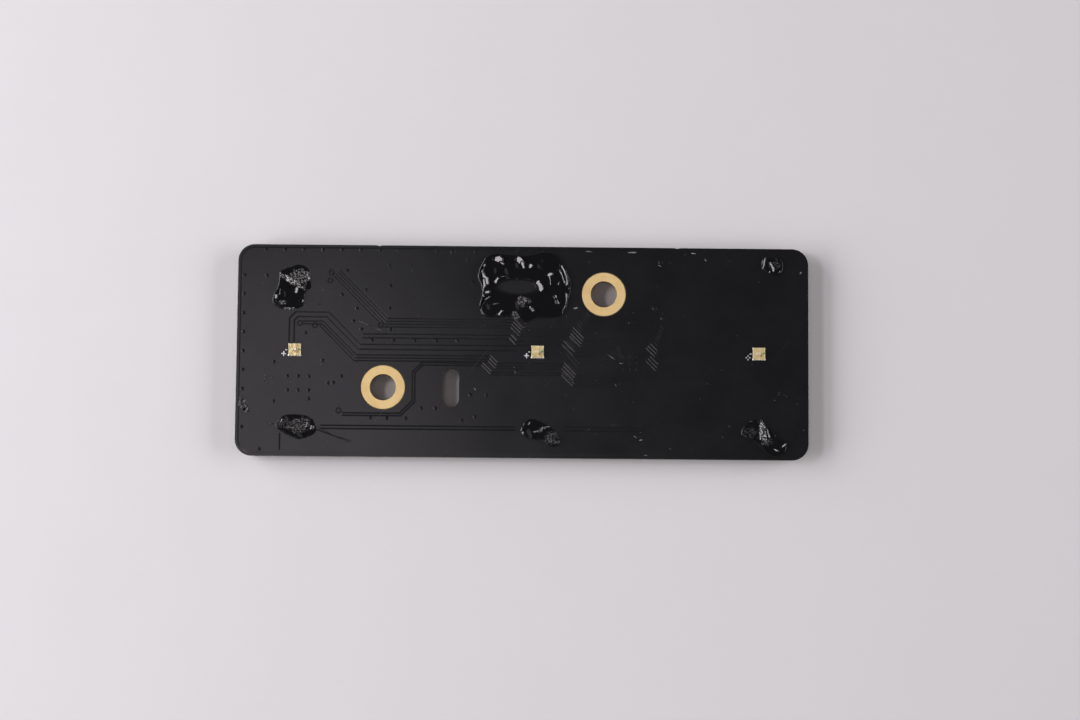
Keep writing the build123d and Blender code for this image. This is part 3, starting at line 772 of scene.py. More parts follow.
def resin_material(settings):
    """Clear moulded resin with slightly uneven faces, which lets the lamps through to the base."""
    material, tree, shader = new_material(
        "Clear Resin", IOR=1.38, Transmission_Weight=1.0, Base_Color=colour((1.0, 0.985, 0.93)))
    grain = effect(tree, "Grain", Scale=2500.0, Depth=0.0025 * MM)
    link = tree.links.new
    clear = settings.resin_roughness
    link(blend_values(tree, grain.outputs["Mask"], clear, clear + 0.08), shader.inputs["Roughness"])
    link(grain.outputs["Normal"], shader.inputs["Normal"])
    path = tree.nodes.new("ShaderNodeLightPath")
    through = add_node(tree, "ShaderNodeBsdfTransparent", {"Color": colour((0.97, 0.95, 0.90))})
    either = tree.nodes.new("ShaderNodeMixShader")
    link(path.outputs["Is Shadow Ray"], either.inputs[0])
    link(shader.outputs["BSDF"], either.inputs[1])
    link(through.outputs["BSDF"], either.inputs[2])
    link(either.outputs["Shader"], tree.nodes["Material Output"].inputs["Surface"])
    return material


def resin_shell(n, settings):
    """The moulded resin over one LED: a square with eased corners, drawn in as it rises, with a
    rounded upper edge."""
    low, high = node_box(f"led_{n}_lens")
    middle, half = (low[:2] + high[:2]) / 2, (high[0] - low[0]) / 2
    corner, draft, ease = 0.15 * MM, tan(radians(5)), settings.resin_ease
    foot = low[2] + 0.001 * MM
    shoulder = high[2] - ease
    drawn = (shoulder - foot) * draft
    rounding = [(drawn + ease * (1 - cos(a)), shoulder + ease * sin(a)) for a in np.linspace(0, pi / 2, 6)]
    return block(rounded_square(middle, half, corner), [(0, foot)] + rounding)


def solder_shell(n):
    """The joints of one LED: domes that swell out of the corner and side castellations, larger on
    the side towards -Y."""
    low, high = node_box(f"led_{n}_base")
    middle, half = (low[:2] + high[:2]) / 2, (high[0] - low[0]) / 2
    height, pitch = 0.2 * MM, 0.38 * MM
    corner_radius, side_radius, larger = 0.13 * MM, 0.065 * MM, 0.02 * MM
    corner_inset, side_inset = 0.07 * MM, 0.005 * MM
    beads = []
    for sx in (-1, 1):
        for sy in (-1, 1):
            place = middle + np.array([sx, sy]) * (half - corner_inset)
            beads.append(dome(place, corner_radius - larger * sy, height, BOARD_TOP, 8, 24))
    for k in (-1, 0, 1):
        for sy in (-1, 1):
            place = middle + np.array([k * pitch, sy * (half - side_inset)])
            beads.append(dome(place, side_radius - larger * sy, height, BOARD_TOP, 7, 18))
    return gather(beads)


# Bond wires of one LED: (start on a die, end on a pad), in millimetres from its middle
BOND_RUNS = [((-0.26, 0.04), (-0.44, 0.43)), ((-0.22, -0.02), (-0.43, -0.42)), ((0.05, 0.05), (0.42, 0.43)),
             ((0.08, -0.03), (0.02, -0.16)), ((0.26, -0.25), (0.50, -0.44))]


def bond_wires(n, settings):
    """Gold wires from each die to a pad: each falls as the square of how far along it is, and
    arches over that as a sine of half a turn, raised to a power."""
    middle = node_middle(f"led_{n}_base")
    top = node_box(f"led_{n}_dies")[1][2] - 0.004 * MM
    pad = node_box(f"led_{n}_electrodes")[1][2]
    arch = 0.09 * MM
    share = np.linspace(0, 1, 14)
    height = top + (pad - top) * share**2 + arch * np.sin(pi * share) ** 0.8
    wires = []
    for start, end in BOND_RUNS:
        plan = [middle[k] + (start[k] + (end[k] - start[k]) * share) * MM for k in (0, 1)]
        wires.append(tube(np.stack([*plan, height], axis=-1), settings.wire_radius))
    return gather(wires)


class LEDBOARD_OT_leds(bpy.types.Operator):
    """Finish the chip LEDs: base, foil, dies, wires, resin and solder fillets"""

    bl_idname = "led_board.leds"
    bl_label = "Chip LEDs"

    def execute(self, context):
        settings = context.scene.led_board_leds
        pale = list(settings.base_colour)
        base = grained_material("Led Base", pale, [c * 0.66 for c in pale], (0.5, 0.62), 4600.0, 0.002 * MM)
        foil = grained_material("Led Foil", (0.60, 0.50, 0.30), (0.50, 0.37, 0.19), (0.28, 0.4), 5200.0,
                                0.0015 * MM, Metallic=0.4)
        mark = grained_material("Polarity Ink", (0.018, 0.21, 0.06), (0.012, 0.14, 0.04), (0.4, 0.55), 6000.0,
                                0.002 * MM)
        resin = resin_material(settings)
        solder = grained_material("Led Solder", (0.92, 0.90, 0.90), (0.72, 0.70, 0.72), (0.22, 0.38), 5000.0,
                                  0.003 * MM, Metallic=0.6)
        wire = grained_material("Bond Wire", (0.95, 0.74, 0.38), (0.90, 0.66, 0.30), (0.2, 0.3), 9000.0,
                                0.0005 * MM, Metallic=1.0)
        dies = die_material()
        for n in LEDS:
            finish_node(f"led_{n}_base", base)
            finish_node(f"led_{n}_electrodes", foil)
            finish_node(f"led_{n}_polarity_mark", mark)
            finish_node(f"led_{n}_dies", dies)
            points, faces = resin_shell(n, settings)
            new_piece(f"resin_{n}", points, faces, resin, [f"led_{n}_lens"], smooth=False)
            points, faces = solder_shell(n)
            new_piece(f"solder_fillets_{n}", points, faces, solder, [f"led_{n}_solder"])
            points, faces = bond_wires(n, settings)
            new_piece(f"bond_wires_{n}", points, faces, wire)
        return {"FINISHED"}


def die_material():
    """LED dies: pale crystals in the row, and a reddish brown one set below it."""
    material, tree, shader = new_material("Led Dies", IOR=1.75)
    place = add_node(tree, "ShaderNodeTexCoord")
    parts = add_node(tree, "ShaderNodeSeparateXYZ")
    below = add_node(tree, "ShaderNodeMath", {1: -0.11 * MM}, operation="LESS_THAN")
    grain = effect(tree, "Grain", Scale=9000.0, Depth=0.002 * MM)
    link = tree.links.new
    link(place.outputs["Object"], parts.inputs["Vector"])
    link(parts.outputs["Y"], below.inputs[0])
    pale = blend_colours(tree, grain.outputs["Mask"], (0.58, 0.52, 0.46), (0.70, 0.66, 0.60))
    link(blend_colours(tree, below.outputs["Value"], pale, (0.26, 0.09, 0.06)), shader.inputs["Base Color"])
    link(blend_values(tree, grain.outputs["Mask"], 0.2, 0.35), shader.inputs["Roughness"])
    link(grain.outputs["Normal"], shader.inputs["Normal"])
    return material


# ---------------------------------------------------------------- torn adhesive

# Each residue, in millimetres from the middle of its node's box. mean is its level as a share of
# the node's height, and lean is how steeply that falls along x. swell and cell are the height and
# size of its bumps, edge is the width of its rounded rim, ragged is how far its outline is eaten in,
# as a share, and seed starts its noise. Folds are flat bands, (points, width), that climb by slope
# along x and y. Torn patches are (middle, radii, turn, paleness): pale torn fibres, and a few are
# painted highlights; flat ones are (middle, radii, turn).
RESIDUES = {
    "upper_middle": {
        "mean": 0.48, "lean": 0.03, "slope": (0.463, 0.017), "swell": 0.06, "cell": 1.3, "edge": 0.34,
        "ragged": 0.05, "seed": 3,
        "folds": [([(-3.45, 3.3), (-2.95, 3.25)], 0.72), ([(-2.95, 3.0), (-2.55, 2.8)], 0.2),
                  ([(-0.75, 3.45), (-0.3, 3.0)], 0.5), ([(-0.3, 3.0), (-0.12, 2.4)], 0.26),
                  ([(0.7, 2.53), (0.85, 2.73)], 0.3), ([(-5.45, 1.75), (-5.3, 2.3)], 0.3),
                  ([(-4.52, 0.36), (-4.6, 1.03), (-5.1, 1.36), (-5.27, 1.86), (-4.93, 2.7)], 0.28),
                  ([(-5.02, -1.22), (-5.43, -0.89), (-5.18, -0.64), (-4.85, 0.03), (-4.95, 0.8)], 0.2),
                  ([(-4.65, -0.67), (-4.4, -0.65)], 0.38), ([(-3.55, 0.66), (-3.2, 1.06)], 0.42),
                  ([(-3.1, 1.15), (-2.6, 1.27), (-2.1, 1.27)], 0.06), ([(-0.92, 0.9), (-0.9, 1.0)], 0.2),
                  ([(1.65, 0.58), (2.1, -0.1)], 0.58), ([(1.38, 0.0), (1.42, 0.1)], 0.18),
                  ([(3.27, 0.36), (3.1, 1.3)], 0.2), ([(3.05, 1.58), (3.28, 1.63)], 0.38),
                  ([(5.27, 0.36), (5.23, 1.2), (4.9, 2.03), (4.48, 2.7)], 0.2),
                  ([(5.0, 0.61), (4.66, 1.45), (4.25, 2.2)], 0.13),
                  ([(5.53, -0.27), (5.65, 0.2), (5.48, 0.61)], 0.22), ([(4.2, 0.38), (4.26, 0.62)], 0.2),
                  ([(4.23, -1.97), (4.07, -1.47), (3.82, -1.05)], 0.16),
                  ([(3.95, -1.97), (3.8, -1.5), (3.58, -1.15)], 0.11),
                  ([(4.87, -3.1), (5.07, -2.47), (5.27, -1.64), (5.23, -0.8)], 0.2),
                  ([(-5.02, -3.47), (-5.35, -2.8), (-5.18, -2.14), (-4.77, -1.64), (-4.2, -1.3)], 0.11),
                  ([(-4.0, -2.25), (-3.2, -2.1)], 0.1), ([(-3.1, -3.4), (-2.75, -3.02)], 0.26),
                  ([(0.65, -2.47), (1.15, -2.87)], 0.26), ([(-1.35, -3.3), (-1.3, -3.1)], 0.1),
                  ([(-0.9, -3.6), (-0.85, -3.4)], 0.12)],
        "torn": [((-0.27, -1.72), (0.5, 0.6), 0.3, 0.38), ((0.5, -1.72), (0.3, 0.3), 0.0, 0.3),
                 ((0.9, -2.65), (0.4, 0.18), -0.6, 0.4), ((-1.0, -3.65), (0.4, 0.5), 0.2, 0.28)],
        "flat": [((-0.85, 0.0), (2.2, 0.78), 0.0)],
    },
    "upper_left": {
        "mean": 0.5, "lean": 0.08, "slope": (0.384, 0.014), "swell": 0.07, "cell": 1.1, "edge": 0.3,
        "ragged": 0.07, "seed": 31,
        "folds": [([(-1.68, 1.4), (-1.6, 1.8)], 0.25), ([(2.02, 1.05), (2.1, 1.4)], 0.22),
                  ([(0.5, -0.55), (0.62, -0.2)], 0.25), ([(-1.46, -0.9), (-1.4, -0.3)], 0.07),
                  ([(-1.95, -1.35), (-1.9, -1.0)], 0.22), ([(-1.1, -2.0), (-1.0, -1.72)], 0.25),
                  ([(1.06, -2.08), (1.66, -1.18), (1.96, -0.48)], 0.12)],
        # The third and fourth torn patches are painted highlights: pale spots standing for glints on the gum.
        "torn": [((-0.19, 0.82), (1.75, 0.3), -0.526, 1.0), ((1.06, 1.32), (1.1, 0.8), 0.0, 0.42),
                 ((-1.04, -1.88), (0.4, 0.25), 0.0, 0.5), ((-0.25, -2.68), (0.8, 0.14), 0.0, 0.6)],
        "flat": [],
    },
    "lower_left": {
        "mean": 0.5, "lean": 0.08, "slope": (0.382, -0.042), "swell": 0.06, "cell": 0.9, "edge": 0.3,
        "ragged": 0.06, "seed": 47,
        "folds": [([(1.15, 0.0), (1.25, 0.4)], 0.25), ([(1.72, -0.25), (1.8, 0.1)], 0.16),
                  ([(2.0, -0.22), (2.05, 0.05)], 0.12), ([(-1.9, 0.5), (-1.75, 0.85)], 0.14)],
        "torn": [((0.25, 0.15), (1.25, 0.8), 0.1, 0.24), ((-1.6, 0.3), (0.7, 0.5), 0.0, 0.14)],
        "flat": [],
    },
    "lower_middle": {
        "mean": 0.44, "lean": 0.03, "slope": (0.466, -0.041), "swell": 0.05, "cell": 0.9, "edge": 0.3,
        "ragged": 0.07, "seed": 59,
        "folds": [([(-2.4, 0.3), (-2.38, 0.75)], 0.24), ([(-2.2, -0.3), (-2.15, 0.0)], 0.2),
                  ([(-1.4, 1.0), (-1.3, 1.2)], 0.16), ([(2.3, -1.25), (2.4, -0.95)], 0.22),
                  ([(0.15, 0.35), (0.3, 0.6)], 0.12)],
        # The first two torn patches paint a pale grey band along the ridge that climbs to the right.
        "torn": [((-0.35, 0.12), (0.5, 0.12), 0.1, 0.5), ((0.5, 0.58), (0.6, 0.13), 0.25, 0.5),
                 ((1.4, -0.7), (0.9, 0.8), 0.4, 0.15)],
        "flat": [],
    },
    "upper_right": {
        "mean": 0.46, "lean": 0.0, "slope": (0.553, 0.029), "swell": 0.05, "cell": 0.8, "edge": 0.3,
        "ragged": 0.06, "seed": 71,
        "folds": [([(-1.3, 0.25), (-1.2, 0.9)], 0.13),
                  ([(-1.25, -0.25), (-1.03, 0.05), (-0.99, 0.55), (-0.87, 1.0)], 0.14),
                  ([(0.14, -0.6), (0.08, -0.25), (-0.27, 0.4)], 0.17),
                  ([(-0.4, -0.85), (-0.35, -0.7)], 0.15), ([(0.9, -0.82), (0.95, -0.65)], 0.15)],
        "torn": [((0.3, 0.1), (0.7, 0.45), 0.3, 0.1)],
        "flat": [],
    },
    "lower_right": {
        "mean": 0.46, "lean": 0.0, "slope": (0.547, -0.04), "swell": 0.05, "cell": 1.0, "edge": 0.3,
        "ragged": 0.06, "seed": 83,
        "folds": [([(-0.42, -0.2), (-0.48, 0.8), (-0.35, 1.9)], 0.13),
                  ([(0.69, 0.1), (0.5, 0.6), (0.4, 1.05)], 0.12), ([(2.15, -1.1), (2.8, -0.68)], 0.2),
                  ([(1.25, -1.42), (1.7, -1.62)], 0.13), ([(-2.2, 1.92), (-1.8, 2.1), (-1.45, 2.0)], 0.14)],
        "torn": [((-0.12, 0.9), (0.32, 1.3), 0.18, 0.85), ((0.4, -0.5), (0.65, 0.4), 0.3, 0.2),
                 ((-1.7, 0.6), (0.8, 0.6), 0.0, 0.08)],
        "flat": [],
    },
    "left_edge": {
        "mean": 0.6, "lean": 0.0, "slope": (0.35, 0.03), "swell": 0.1, "cell": 0.4, "edge": 0.12,
        "ragged": 0.1, "seed": 97,
        "folds": [],
        "torn": [((0.0, 0.0), (0.6, 0.9), 0.4, 0.3)],
        "flat": [],
    },
}
# The lower left residue's box also holds the threads drawn out of it, so its middle is stated, from
# the box's low corner, and so is how far its own foot reaches from there.
STATED_MIDDLES = {"lower_left": (2.66, 2.10)}
STATED_REACH = {"lower_left": 2.75}


class AdhesiveSettings(bpy.types.PropertyGroup):
    """The black adhesive left where parts were pulled off."""

    gum_colour: FloatVectorProperty(
        name="Gum", description="The glossy skin's colour", subtype="COLOR", size=3,
        default=(0.006, 0.006, 0.007), min=0, max=1)
    # pale colour of the torn fibres, also used to paint highlights on the gum
    torn_and_glint_colour: FloatVectorProperty(
        name="Torn", description="The pale fibres where it tore", subtype="COLOR", size=3,
        default=(0.62, 0.60, 0.61), min=0, max=1)
    gum_roughness: FloatProperty(
        name="Gum roughness", description="How glossy the skin is", subtype="FACTOR",
        default=0.07, min=0, max=1)


def adhesive_material(settings):
    """Glossy black gum, paler and matt where the torn mask says, satin where the flat one does. The
    pale colour is torn fibres, and in a few patches a painted highlight.
    """
    material, tree, shader = new_material("Adhesive", IOR=1.5, Specular_IOR_Level=0.34)
    torn = add_node(tree, "ShaderNodeAttribute", attribute_name="torn")
    flat = add_node(tree, "ShaderNodeAttribute", attribute_name="flat")
    fibres = effect(tree, "Grain", Scale=5500.0, Depth=0.03 * MM, Low=0.46, High=0.62)
    skin = effect(tree, "Grain", Scale=900.0, Depth=0.0015 * MM)
    fray = add_node(tree, "ShaderNodeMath", operation="MULTIPLY")
    normals = add_node(tree, "ShaderNodeMix", data_type="VECTOR")
    link = tree.links.new
    link(torn.outputs["Fac"], fray.inputs[0])
    link(fibres.outputs["Mask"], fray.inputs[1])
    dull = [c * 2.6 for c in settings.gum_colour]
    gum = blend_colours(tree, flat.outputs["Fac"], settings.gum_colour, dull)
    # the pale colour by the torn mask: torn fibres, and in a few patches painted highlights on the gum
    link(blend_colours(tree, fray.outputs["Value"], gum, settings.torn_and_glint_colour), shader.inputs["Base Color"])
    satin = blend_values(tree, flat.outputs["Fac"], settings.gum_roughness, 0.34)
    link(blend_values(tree, torn.outputs["Fac"], satin, 0.5), shader.inputs["Roughness"])
    link(torn.outputs["Fac"], normals.inputs[0])
    link(skin.outputs["Normal"], normals.inputs[4])
    link(fibres.outputs["Normal"], normals.inputs[5])
    link(normals.outputs[1], shader.inputs["Normal"])
    return material


def foot_reach(points, middle, angles, limit):
    """How far a node's foot reaches from the middle in each direction: the corners of its lowest
    face, in order of angle, joined by straight lines."""
    foot = points[points[:, 2] < points[:, 2].min() + 0.001 * MM][:, :2] - middle
    foot = foot[np.hypot(*foot.T) < limit]
    around, reach = np.arctan2(foot[:, 1], foot[:, 0]), np.hypot(*foot.T)
    order = np.argsort(around)
    return np.interp(angles, around[order], reach[order], period=2 * pi)


def residue_shell(name, form, rings, steps):
    """One residue on a polar grid. Its height is a swell of noise with flat bands in it and torn
    fibres where masked, times a steep rim: the fourth root of one less the fourth power of how
    near the place is to the outline. The masks say where it is flat and where it is pale: torn
    fibres, and in a few places a painted highlight."""
    points = node_points(f"adhesive_{name}")
    low, high = points.min(axis=0), points.max(axis=0)
    middle = (low + high)[:2] / 2
    if name in STATED_MIDDLES:
        middle = low[:2] + np.array(STATED_MIDDLES[name]) * MM
    height = (high[2] - low[2]) / MM
    angle = np.linspace(-pi, pi, steps, endpoint=False)
    reach = foot_reach(points, middle, angle, STATED_REACH.get(name, np.inf) * MM) / MM
    wander = rough(np.cos(angle) * 3 + 7, np.sin(angle) * 3 + 7, 0.9, form["seed"], 5)
    reach = reach * (1 - form["ragged"] * (0.6 + 0.8 * wander).clip(0, 2)) - 0.01
    share = np.linspace(0, 1, rings + 1)[1:, None] ** 0.75
    x, y = share * reach * np.cos(angle), share * reach * np.sin(angle)
    near_edge = 1 - np.clip((1 - share) * reach / form["edge"], 0, 1)
    rim = (1 - near_edge**4) ** 0.25

    torn, flat = np.zeros(x.shape), np.zeros(x.shape)
    fringe = 0.45 * rough(x + 11, y + 11, 0.45, form["seed"] + 5)
    # the torn mask: pale torn fibres, and in a few patches painted highlights
    for place, radii, turn, paleness in form["torn"]:
        inside = bell(x, y, place, [r * 1.2 for r in radii], turn) + fringe
        torn = np.maximum(torn, paleness * smooth_step((inside - 0.3) / 0.4))
    for place, radii, turn in form["flat"]:
        flat = np.maximum(flat, smooth_step(2.2 * bell(x, y, place, radii, turn)))

    swell = rough(x, y, form["cell"], form["seed"] + 1, 2) * form["swell"]
    top = form["mean"] * height - form["lean"] * x + swell * (1 - flat)
    top = top * (1 - 0.35 * flat)
    for line, width in form["folds"]:
        top = facet(x, y, top, line, width, form["slope"])
    fibres = 0.09 * rough(x, y, 0.2, form["seed"] + 9, 3) * torn
    top = np.clip((top + fibres) * rim, 0, height * 0.985)
    top[-1] = 0

    skin = np.dstack([middle[0] + x * MM, middle[1] + y * MM, low[2] + top * MM]).reshape(-1, 3)
    ends = np.array([[*middle, low[2] + top[0].mean() * MM], [*middle, low[2]]])
    outer = np.arange((rings - 1) * steps, rings * steps)
    faces = [grid_quads(rings, steps, closed=True), fan(rings * steps, np.arange(steps)),
             fan(rings * steps + 1, outer)]
    masks = {"torn": np.append(torn.ravel(), [torn[0].mean(), 0]),
             "flat": np.append(flat.ravel(), [flat[0].mean(), 0])}
    return np.concatenate([skin, ends]), faces, masks


# The threads: where each starts, from the low corner of the residue's box, where it ends, from the
# box's corner at high X and low Y, its radius at the start, and how far it wanders, in millimetres
THREADS = [((4.4, 2.0), (-0.1, 0.33), 0.088, 0.05), ((5.1, 2.15), (-0.35, 0.12), 0.035, 0.09)]


def thread_shell():
    """The threads drawn out of the lower left residue: tubes that lie on the coat, thin to half
    their radius, and wander from side to side as a sine that grows along them."""
    low, high = node_box("adhesive_lower_left")
    share = np.linspace(0, 1, 60)
    axis_height = np.full(share.shape, BOARD_TOP + 0.03 * MM)
    shells = []
    for start, end, thickness, wave in THREADS:
        start = low[:2] + np.array(start) * MM
        end = np.array([high[0], low[1]]) + np.array(end) * MM
        run = end - start
        across = np.array([-run[1], run[0]]) / hypot(*run)
        plan = start + share[:, None] * run + (wave * MM * np.sin(share * 9) * share)[:, None] * across
        points, faces = tube(np.column_stack([plan, axis_height]), thickness * MM * (1 - 0.5 * share))
        points[:, 2] = np.maximum(points[:, 2], BOARD_TOP)
        shells.append((points, faces))
    return gather(shells)


class LEDBOARD_OT_adhesive(bpy.types.Operator):
    """Add the torn adhesive residues over their solids"""

    bl_idname = "led_board.adhesive"
    bl_label = "Torn adhesive"

    def execute(self, context):
        material = adhesive_material(context.scene.led_board_adhesive)
        for name, form in RESIDUES.items():
            rings, steps = (130, 560) if name == "upper_middle" else (90, 340)
            points, faces, masks = residue_shell(name, form, rings, steps)
            new_piece(f"residue_{name}", points, faces, material, [f"adhesive_{name}"],
                      masks=masks)
        points, faces = thread_shell()
        masks = {"torn": np.zeros(len(points)), "flat": np.zeros(len(points))}
        new_piece("residue_thread", points, faces, material, masks=masks)
        return {"FINISHED"}


# ---------------------------------------------------------------- scuffs and crumbs

# White scuffs on the coat: (start, end, width), in millimetres on the board
SCUFFS = [
    ((7.6, 12.5), (8.35, 12.45), 0.14), ((12.8, 12.38), (13.9, 12.42), 0.18),
    ((20.6, 12.38), (21.2, 12.32), 0.16), ((22.2, 11.75), (22.5, 11.4), 0.1),
    ((6.15, 5.4), (6.7, 5.5), 0.22), ((33.95, 9.9), (34.2, 10.2), 0.14),
    ((10.4, -0.25), (11.3, -0.85), 0.08), ((11.0, -8.8), (11.3, -8.95), 0.12),
    ((11.8, -1.25), (12.2, -1.35), 0.1), ((14.3, -10.75), (14.7, -10.65), 0.12),
    ((13.6, -10.2), (14.0, -10.4), 0.1), ((14.9, -12.5), (15.3, -12.6), 0.12),
    ((16.5, 10.9), (16.9, 10.7), 0.1), ((-18.1, 2.7), (-17.1, 2.45), 0.035),
    ((-20.2, 3.7), (-19.0, 3.1), 0.03), ((-5.9, -4.5), (-5.7, -4.8), 0.08),
]
SCUFF_HEIGHT = 0.012
# Dark crumbs of adhesive: (middle, how far they scatter, how many)
CRUMBS = [((-31.0, -3.5), 0.8, 9), ((-34.0, -6.0), 0.5, 5), ((31.5, -5.5), 1.2, 6), ((2.9, 12.0), 0.8, 5),
          ((-30.5, -9.0), 0.4, 5), ((-26.8, 5.0), 0.6, 5), ((0.3, 3.4), 0.7, 6)]


def scuff_material():
    """Bruised coat: pale grey, broken up by a grain."""
    return grained_material("Scuff", (0.34, 0.34, 0.36), (0.04, 0.04, 0.045), (0.5, 0.7), 7000.0, 0.01 * MM)


def crumb_shell(middle, radius, seed):
    """A crumb: a low dome whose radius and height wander with the angle."""
    points, faces = dome((0, 0), 1.0, 1.0, 0.0, 4, 12)
    angle = np.arctan2(points[:, 1], points[:, 0])
    wander = 1 + 0.35 * noise(np.cos(angle) * 2 + 5, np.sin(angle) * 2 + 5, 0.8, seed)
    lift = 1 + 0.3 * noise(points[:, 0] * 2 + 5, points[:, 1] * 2 + 5, 0.6, seed + 1)
    scale = np.column_stack([radius * wander, radius * wander * 0.8, radius * 0.7 * lift])
    return points * scale + np.array([*middle, BOARD_TOP]), faces


class LEDBOARD_OT_scuffs(bpy.types.Operator):
    """Add the scuffs and the crumbs that wear has left on the coat"""

    bl_idname = "led_board.scuffs"
    bl_label = "Scuffs and crumbs"

    def execute(self, context):
        height = SCUFF_HEIGHT * MM
        points, faces = gather([
            rib(np.array(start) * MM, np.array(end) * MM, width * MM, height, BOARD_TOP, taper=0.45)
            for start, end, width in SCUFFS])
        new_piece("scuffs", points, faces, scuff_material())
        random = np.random.default_rng(5)
        shells = []
        for middle, spread, count in CRUMBS:
            for k in range(count):
                place = (np.array(middle) + random.normal(0, spread / 2, 2)) * MM
                shells.append(crumb_shell(place, random.uniform(0.05, 0.13) * MM, int(random.integers(1000))))
        points, faces = gather(shells)
        crumbs = grained_material("Crumbs", (0.02, 0.02, 0.02), (0.004, 0.004, 0.004), (0.25, 0.5), 4000.0,
                                  0.01 * MM)
        new_piece("crumbs", points, faces, crumbs)
        return {"FINISHED"}


# ---------------------------------------------------------------- parts under the board


class LEDBOARD_OT_underside(bpy.types.Operator):
    """Finish the connector, the driver and the chip capacitors and resistors"""

    bl_idname = "led_board.underside"
    bl_label = "Underside parts"

    def execute(self, context):
        finishes = {
            "connector_housing": grained_material(
                "Connector Plastic", (0.62, 0.55, 0.42), (0.54, 0.47, 0.35), (0.42, 0.55), 1800.0,
                0.004 * MM),
            "connector_contacts": grained_material(
                "Contact Metal", (0.95, 0.74, 0.40), (0.88, 0.66, 0.34), (0.22, 0.34), 4000.0, 0.001 * MM,
                Metallic=1.0),
            "driver_body": grained_material(
                "Chip Plastic", (0.022, 0.022, 0.024), (0.012, 0.012, 0.013), (0.5, 0.66), 2600.0,
                0.006 * MM),
        }
        tin = grained_material("Tin", (0.82, 0.82, 0.80), (0.66, 0.66, 0.65), (0.24, 0.42), 3000.0,
                               0.004 * MM, Metallic=1.0)
        ceramic = grained_material("Capacitor Ceramic", (0.36, 0.22, 0.11), (0.28, 0.17, 0.085), (0.45, 0.6),
                                   2600.0, 0.004 * MM)
        alumina = resistor_material()
        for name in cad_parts:
            if name in finishes:
                finish_node(name, finishes[name])
            elif name == "driver_leads" or name.endswith("_caps"):
                finish_node(name, tin)
            elif name.startswith("capacitor") and name.endswith("_body"):
                finish_node(name, ceramic)
            elif name.startswith("resistor") and name.endswith("_body"):
                finish_node(name, alumina)
        return {"FINISHED"}


def resistor_material():
    """White alumina with a black coat on the face that looks down."""
    material, tree, shader = new_material("Resistor", IOR=1.5)
    coated_below = node_box("resistor_1_body")[0][2] + 0.03 * MM
    place = add_node(tree, "ShaderNodeTexCoord")
    parts = add_node(tree, "ShaderNodeSeparateXYZ")
    outer = add_node(tree, "ShaderNodeMath", {1: coated_below}, operation="LESS_THAN")
    grain = effect(tree, "Grain", Scale=3200.0, Depth=0.003 * MM)
    link = tree.links.new
    link(place.outputs["Object"], parts.inputs["Vector"])
    link(parts.outputs["Z"], outer.inputs[0])
    white = blend_colours(tree, grain.outputs["Mask"], (0.62, 0.62, 0.60), (0.74, 0.74, 0.72))
    body = blend_colours(tree, outer.outputs["Value"], white, (0.015, 0.015, 0.017))
    link(body, shader.inputs["Base Color"])
    link(blend_values(tree, grain.outputs["Mask"], 0.35, 0.55), shader.inputs["Roughness"])
    link(grain.outputs["Normal"], shader.inputs["Normal"])
    return material


# ---------------------------------------------------------------- the stage


class StageSettings(bpy.types.PropertyGroup):
    """The floor, the lamps and the camera."""

    floor_colour: FloatVectorProperty(
        name="Floor", description="The pale floor", subtype="COLOR", size=3,
        default=(0.80, 0.775, 0.80), min=0, max=1)
    camera_elevation: FloatProperty(
        name="Elevation", description="The camera's height above the horizon", subtype="ANGLE",
        unit="ROTATION", default=radians(84.2))
    camera_heading: FloatProperty(
        name="Heading", description="The camera's turn about the board", subtype="ANGLE",
        unit="ROTATION", default=radians(-4.82))
    camera_roll: FloatProperty(
        name="Roll", description="The camera's turn about its own axis", subtype="ANGLE",
        unit="ROTATION", default=radians(5.33))
    camera_distance: FloatProperty(
        name="Distance", description="From the camera to the board", subtype="DISTANCE",
        unit="LENGTH", default=293.7 * MM)
    camera_lens: FloatProperty(
        name="Lens", description="The lens's focal length in millimetres", default=80.0)


# The lamps: name, power in watts, size in metres, elevation and azimuth in degrees, distance in
# metres, and tint. Azimuth 0 is over +X, and 90 over +Y.
LAMPS = [
    ("Window", 0.50, (0.165, 0.066), 40.0, 171.0, 0.50, (1.0, 0.95, 0.99)),
    ("Low window", 6.1, (0.80, 0.30), 17.0, 176.0, 0.60, (1.0, 0.995, 0.995)),
    ("Far wall", 5.4, (0.80, 0.36), 20.0, 4.0, 0.90, (1.0, 0.98, 0.95)),
    ("Ceiling", 0.090, (0.298, 0.133), 83.0, 199.6, 0.70, (1.0, 0.93, 0.97)),
    ("Upper wall", 0.07, (0.10, 0.13), 71.4, 210.4, 0.70, (1.0, 0.93, 0.95)),
]


def add_lamps(scene, target):
    """The soft rectangular lamps, each turned to the target."""
    for name, power, size, elevation, azimuth, distance, tint in LAMPS:
        light = bpy.data.lights.new(name, "AREA")
        light.shape = "RECTANGLE"
        light.size, light.size_y = size
        light.energy = power
        light.color = tint
        placed = bpy.data.objects.new(name, light)
        e, a = radians(elevation), radians(azimuth)
        away = Vector((cos(e) * cos(a), cos(e) * sin(a), sin(e)))
        placed.location = target + away * distance
        placed.rotation_euler = away.to_track_quat("Z", "Y").to_euler()
        placed.visible_camera = False
        scene.collection.objects.link(placed)


